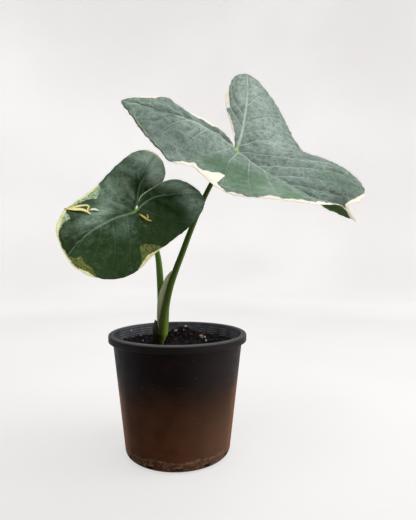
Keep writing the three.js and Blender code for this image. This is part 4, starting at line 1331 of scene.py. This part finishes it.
def pot_material():
    """Satin plastic, charcoal black above a soft uneven edge and dark brown below it, the brown a
    painted reflection of a warm floor. The brown is darker further up, painted lighter to the right
    as painted light from that side and orange-brown at grazing angles as a painted rim reflection;
    the black is painted lighter towards both sides as painted reflections. There are a paler lip
    with a painted highlight along its top, dust and a tide mark near the foot, scratches, and faint
    rings inside. Heights are in metres."""
    material, tree = new_material("pot_plastic", {"IOR": 1.46, "Specular IOR Level": 0.06})
    x, _, height = axes_of(tree)
    facing = wire(tree, "ShaderNodeLayerWeight", {"Blend": 0.3}, "Facing")
    # Painted reflection of a warm floor: dark brown below the black
    brown = mix(grain(tree, 16.0, 0.3, 0.7), "#3a2009", "#4a2917")
    # Painted light from the right
    brown = mix(x.ramp(-0.01, 0.058, 0.0, 0.8), brown, "#6d503e")
    brown = mix(height.ramp(0.015, 0.07, 0.0, 0.65), brown, "#1a0e08")
    # Painted rim reflection at grazing angles
    brown = mix(facing.ramp(0.36, 0.66, 0.0, 0.9), brown, "#7d4a2a")
    black = mix(grain(tree, 30.0, 0.5, 0.8), "#0e0706", "#2c120c")
    # Painted reflections towards both sides
    black = mix(x.ramp(-0.005, 0.05, 0.0, 0.85), black, "#2f2828")
    black = mix(x.ramp(-0.02, -0.055, 0.0, 0.6), black, "#20242a")
    black = mix(height.ramp(*LIP_FOOT, 0.0, 0.15), black, "#302f30")
    # Painted highlight along the lip's top
    black = mix(height.ramp(*LIP_PAINTED_HIGHLIGHT, 0.0, 0.9), black, "#59585a")
    edge = height + grain(tree, 26.0, 0.25, 0.75) * 0.009
    base = mix(edge.ramp(*BLACK_EDGE), brown, black)
    dirt_top = height + grain(tree, 14.0, 0.2, 0.8) * 0.0025
    dust = grain(tree, 2.6, 0.4, 0.7) * dirt_top.ramp(0.0130, 0.0115)
    base = mix(dust * 0.6, base, "#6d5a4a")
    tide = dirt_top.ramp(0.0134, 0.0122) * dirt_top.ramp(0.0106, 0.0118) * grain(tree, 5.0, 0.4, 0.6)
    base = mix(tide * x.ramp(-0.02, 0.02, 0.3, 1.0) * 0.5, base, "#8b7a68")
    scratches = grain(tree, 1.0, 0.7, 0.76, stretched(tree, 5, 5, 1))
    base = mix(scratches * 0.5, base, "#6d645c")
    rings = (height * (2 * np.pi / (RING_PITCH * MM))).math("SINE")
    lining = mix(rings.ramp(-0.4, 1.0) * grain(tree, 12.0), "#56575b", "#8a8c94")
    base = mix(value_of(tree, "inner"), base, lining)
    rough = grain(tree, 8.0, 0.2, 0.8).ramp(0.0, 1.0, 0.36, 0.5)
    return dress(material, base, rough, grain(tree, 1.2, 0.2, 0.8), 0.04)


corners, faces, inner = pot_mesh()
pot_skin = pot_material()
nursery_pot = mesh_piece("nursery_pot", corners, faces, pot_skin, {"inner": inner}, sharp=40)
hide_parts("pot")


# Soil

# Between the soil and the pot's wall, where the soil ends below, and how far lumps keep from the
# stem, in millimetres
SOIL_GAP = 0.45
SOIL_FOOT = FLOOR + 0.3
STEM_CLEARANCE = 12.5


def soil_height(x, y):
    """The soil's top: a level, one low mound and a fine unevenness of two waves."""
    mound = MOUND_HEIGHT * np.exp(-((x - MOUND[0]) ** 2 + (y - MOUND[1]) ** 2) / MOUND_SPREAD)
    ripple = np.sin(0.41 * x + 1.3) * np.sin(0.37 * y + 0.4) + 0.6 * np.sin(0.83 * x - 0.71 * y)
    return SOIL_LEVEL + mound + 0.9 * ripple


def soil_top(x, y):
    """The seen soil's top: one more clod on the mound and one at the stem, both rounded heaps."""
    mound = 4.2 * np.exp(-((x - 0.5) ** 2 + (y - 23) ** 2) / 170)
    return soil_height(x, y) + mound + 3.5 * np.exp(-((x + 3) ** 2 + (y + 8) ** 2) / 50)


def soil_mesh():
    """The filled pot's soil: a closed round body whose top is a polar grid of clods, the folds
    of waves of two sizes, with fine waves over them."""
    rings, spokes = 110, 260
    share = np.linspace(0, 1, rings + 1)[1:] ** 0.8
    edge = wall_radius(100.5) - WALL - SOIL_GAP
    angle = even_angles(spokes)
    radius = share * edge
    x, y = radius[:, None] * np.cos(angle), radius[:, None] * np.sin(angle)
    flat = np.stack([x, y], -1)
    clods = np.abs(waves(flat, 7.0, 31, 24)) * 1.1 + np.abs(waves(flat, 3.4, 32, 24)) * 0.8
    clods = clods + 0.35 * waves(flat, 1.7, 33, 24)
    z = soil_top(x, y) + (clods - 1.7) * (1 - ramp(radius, edge - 2, edge)[:, None])
    skirt = [(wall_radius(level) - WALL - SOIL_GAP, level) for level in (90.0, 60.0, 30.0, 8.0)]
    skirt += [(48.5, 6.2), (47.8, 4.6), (46.2, 3.2), (44.0, SOIL_FOOT)]
    top = np.stack([x, y, z], -1).reshape(-1, 3)
    sides = [turned(size, angle, level) for size, level in skirt]
    corners = np.concatenate([top, *sides, [(0, 0, soil_height(0, 0)), (0, 0, SOIL_FOOT)]])
    rows = rings + len(skirt)
    body = grid_faces(rows, spokes, around=True)[:, ::-1]
    return corners, np.concatenate([body, end_fans(rows, spokes)[:, FLIPPED]])


def lump_template():
    """A ball of 80 triangles: a twenty-faced solid with each face parted in four."""
    g = (1 + 5**0.5) / 2
    corners = np.array([
        (-1, g, 0), (1, g, 0), (-1, -g, 0), (1, -g, 0), (0, -1, g), (0, 1, g), (0, -1, -g), (0, 1, -g),
        (g, 0, -1), (g, 0, 1), (-g, 0, -1), (-g, 0, 1),
    ], float)
    faces = np.array([
        (0, 11, 5), (0, 5, 1), (0, 1, 7), (0, 7, 10), (0, 10, 11), (1, 5, 9), (5, 11, 4), (11, 10, 2),
        (10, 7, 6), (7, 1, 8), (3, 9, 4), (3, 4, 2), (3, 2, 6), (3, 6, 8), (3, 8, 9), (4, 9, 5),
        (2, 4, 11), (6, 2, 10), (8, 6, 7), (9, 8, 1),
    ])
    lines, which = np.unique(np.sort(edges_of(faces), axis=1), axis=0, return_inverse=True)
    middle = which.reshape(3, -1).T + len(corners)
    a, b, c = faces.T
    ab, bc, ca = middle.T
    parts = [(a, ab, ca), (b, bc, ab), (c, ca, bc), (ab, bc, ca)]
    corners = np.concatenate([corners, corners[lines].mean(1)])
    return unit(corners), np.concatenate([np.stack(part, -1) for part in parts])


LUMP, LUMP_FACES = lump_template()


def lumps(name, spots, sizes, stretch, material, seed):
    """Small uneven pieces that lie part sunk in the soil, or at a stated height: each is a ball
    stretched three ways, dented by waves and turned at random."""
    draw = np.random.default_rng(seed)
    count = len(spots)
    scale = sizes[:, None] * draw.uniform(1 - stretch, 1, (count, 3))
    dents = 0.22 * waves(LUMP + draw.uniform(0, 50, (count, 1, 3)), 1.3, seed + 1)
    turn, _ = np.linalg.qr(draw.normal(size=(count, 3, 3)))
    turn *= np.sign(np.linalg.det(turn))[:, None, None]
    shaped = np.einsum("nij,nvj->nvi", turn, LUMP * (1 + dents)[..., None] * scale[:, None])
    if spots.shape[1] == 2:
        spots = np.column_stack([spots, soil_top(*spots.T) + sizes * 0.15 - 0.2])
    corners = (shaped + spots[:, None]).reshape(-1, 3)
    faces = (LUMP_FACES[None] + (np.arange(count) * len(LUMP))[:, None, None]).reshape(-1, 3)
    tone = np.repeat(draw.uniform(0, 1, count), len(LUMP))
    piece = mesh_piece(name, corners, faces, material, {"tone": tone}, sharp=35)
    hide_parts("soil")


def crumb_material(name, dark, light):
    """A tone between two colours for each crumb, with a little grain."""
    fixed = {"IOR": 1.4, "Specular IOR Level": 0.25, "Roughness": 0.85}
    material, tree = new_material(name, fixed)
    tone = (value_of(tree, "tone") + grain(tree, 1.5)) * 0.5
    return dress(material, mix(tone, dark, light), None, grain(tree, 0.7), 0.15)


def soil_material():
    """Near black, with brown specks, and brown where it shows through the drain holes, painted lighter
    there as painted light.
    """
    fixed = {"IOR": 1.4, "Specular IOR Level": 0.2, "Roughness": 0.9}
    material, tree = new_material("potting_soil", fixed)
    base = mix(grain(tree, 2.2, 0.35, 0.7), "#130f12", "#2e272b")
    base = mix(grain(tree, 0.9, 0.6, 0.75) * 0.5, base, "#4a3d38")
    # Painted light on the soil seen through the drain holes
    base = mix(axes_of(tree)[2].ramp(0.012, 0.009), base, "#a06a48")
    return dress(material, base, None, grain(tree, 0.8, 0.2, 0.8), 0.3)


corners, faces = soil_mesh()
soil_bed = mesh_piece("soil_bed", corners, faces, soil_material(), sharp=50)
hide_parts("soil")

draw = np.random.default_rng(77)


def scattered(count, reach):
    """Places at random within a reach of the middle, but clear of the stem."""
    angle, radius = draw.uniform(0, 2 * np.pi, count), reach * np.sqrt(draw.uniform(0, 1, count))
    spots = np.stack([radius * np.cos(angle), radius * np.sin(angle)], -1)
    return spots[np.linalg.norm(spots - OLD_SHEATH_CENTRE, axis=1) > STEM_CLEARANCE]


def strewn(name, spots, sizes, stretch, skin, seed):
    """Lumps at random sizes between two. Skin is a material's name and its two colours."""
    lumps(name, spots, draw.uniform(*sizes, len(spots)), stretch, crumb_material(*skin), seed)


# Lumps that stand out, at x and y: for those at the wall also the height, and for chips how far
# they stand above the soil
PERLITE_SPOTS = [
    (33, 12), (27, 8), (25.5, 20), (-9.8, 50.5), (-45, -20), (8, -38), (18, -20), (-30, -34), (40, -12),
    (-36, 12),
]
WALL_SPOTS = [(4.3, 59.4, 110.5), (-50.6, 31, 111)]
WALL_SIZES = [1.5, 0.9]
CHIP_SPOTS = [
    (-3.1, 17, 1.6), (4.5, 17, 1.6), (22, 15, 0.6), (22.5, 12, 0.4), (23, 16, 0.6), (-1.5, 18, 1.2),
]

strewn("soil_crumbs", scattered(760, 57.5), (0.7, 2.3), 0.5, ("soil_crumb", "#100e0f", "#34302f"), 41)
spots = np.array([(0.5, 22)]) + draw.normal(0, 6.5, (46, 2))
strewn("mound_crumbs", spots, (1.0, 2.6), 0.5, ("mound_crumb", "#0d0a0d", "#2b252a"), 42)
strewn("bark_bits", scattered(120, 57), (1.2, 3.2), 0.72, ("bark", "#17100e", "#40302a"), 43)
spots = np.array(PERLITE_SPOTS, float)
strewn("perlite", spots, (1.2, 2.0), 0.3, ("perlite", "#d9d5cc", "#f4f2ec"), 45)
dry_perlite = crumb_material("perlite_dry", "#d9d5cc", "#f4f2ec")
lumps("wall_perlite", np.array(WALL_SPOTS), np.array(WALL_SIZES), 0.3, dry_perlite, 46)
spots = np.array(CHIP_SPOTS, float)
spots[:, 2] += soil_top(spots[:, 0], spots[:, 1])
strewn("pale_chips", spots, (1.3, 2.1), 0.6, ("pale_chip", "#a3816f", "#d8b8a8"), 47)


# Floor, light and camera

# How strongly the backdrop glows for the camera
WALL_GLOW = 0.57
HORIZON_GLOW = 0.46
FLOOR_GLOW = 0.8
# Between these distances from the pot, in metres, the floor's tone gives way to the wall's
FLOOR_NEAR = 0.9
FLOOR_END = 1.9
# How far the floor lies below the object's foot, in millimetres, so that the two don't flicker
FLOOR_DROP = 0.15


def backdrop_material():
    """Pale, with a glow that only the camera sees, which changes from the floor over the horizon
    to the wall and is weaker at the front left. The floor itself looks darker to the camera."""
    material, tree = new_material("backdrop", {"Roughness": 0.9, "Specular IOR Level": 0.1})
    x, y, z = axes_of(tree)
    pale = mix(grain(tree, 700.0, 0.3, 0.7), "#f1f0ef", "#e9e7e6")
    away = wire(tree, "ShaderNodeVectorMath", {0: place_of(tree)}, "Value", operation="LENGTH")
    seen = wire(tree, "ShaderNodeLightPath", None, "Is Camera Ray")
    glow = away.ramp(FLOOR_END, FLOOR_NEAR, z.ramp(0.0, 0.4, HORIZON_GLOW, WALL_GLOW), FLOOR_GLOW)
    glow -= x.ramp(0.08, -0.12) * y.ramp(0.25, -0.1) * 0.1
    shader = tree.nodes["Principled BSDF"]
    feed(pale, shader.inputs["Emission Color"])
    feed(seen * glow, shader.inputs["Emission Strength"])
    floor = mix(seen, "#dbd9d8", "#828181")
    base = mix(away.ramp(FLOOR_END, FLOOR_NEAR), pale, floor)
    return dress(material, base, None, grain(tree, 5.0), 0.02)


def backdrop():
    """A pale floor that turns up into a wall behind, in one round sweep."""
    spokes = 96
    bend = arc((1500, 900), 900, -90, 0, 24)[1:]
    profile = np.concatenate([[(200, 0), (900, 0), (1500, 0)], bend, [(2400, 2600)]])
    shell = turned(profile[:, :1], even_angles(spokes), profile[:, 1:])
    corners = np.concatenate([shell.reshape(-1, 3), [(0, 0, 0)]]) - (0, 0, FLOOR_DROP)
    sides = grid_faces(len(profile), spokes, around=True)[:, ::-1]
    faces = np.concatenate([sides, end_fans(len(profile), spokes)[:spokes, FLIPPED]])
    mesh = bpy.data.meshes.new("backdrop")
    mesh.from_pydata((corners * MM).tolist(), [], faces.tolist())
    mesh.shade_smooth()
    mesh.materials.append(backdrop_material())
    sweep = bpy.data.objects.new("backdrop", mesh)
    scene.collection.objects.link(sweep)


def softbox(name, place, aim, width, height, power):
    """A rectangular lamp that points from its place to an aim, both in millimetres."""
    lamp = bpy.data.lights.new(name, "AREA")
    lamp.shape, lamp.size, lamp.size_y, lamp.energy = "RECTANGLE", width * MM, height * MM, power
    holder = bpy.data.objects.new(name, lamp)
    holder.location = np.array(place) * MM
    towards = mathutils.Vector(np.array(aim, float) - np.array(place, float))
    holder.rotation_euler = towards.to_track_quat("-Z", "Y").to_euler()
    scene.collection.objects.link(holder)


backdrop()
softbox("key", (100, -500, 1600), (0, 0, 200), 1000, 1000, 17)
softbox("side", (1100, 0, 700), (0, 0, 150), 700, 900, 6)
softbox("back", (0, 1000, 1500), (0, 100, 300), 1400, 900, 9)

world = bpy.data.worlds.new("studio")
scene.world = world
world.use_nodes = True
world.node_tree.nodes["Background"].inputs["Color"].default_value = colour("#ffffff")
world.node_tree.nodes["Background"].inputs["Strength"].default_value = 0.16

lens = bpy.data.cameras.new("camera")
lens.lens = CAMERA_LENS
camera = bpy.data.objects.new("camera", lens)
camera.location = np.array(CAMERA_PLACE) * MM
camera.rotation_euler = (np.radians(CAMERA_TILT), 0, 0)
scene.collection.objects.link(camera)
scene.camera = camera
scene.view_settings.view_transform = "Standard"
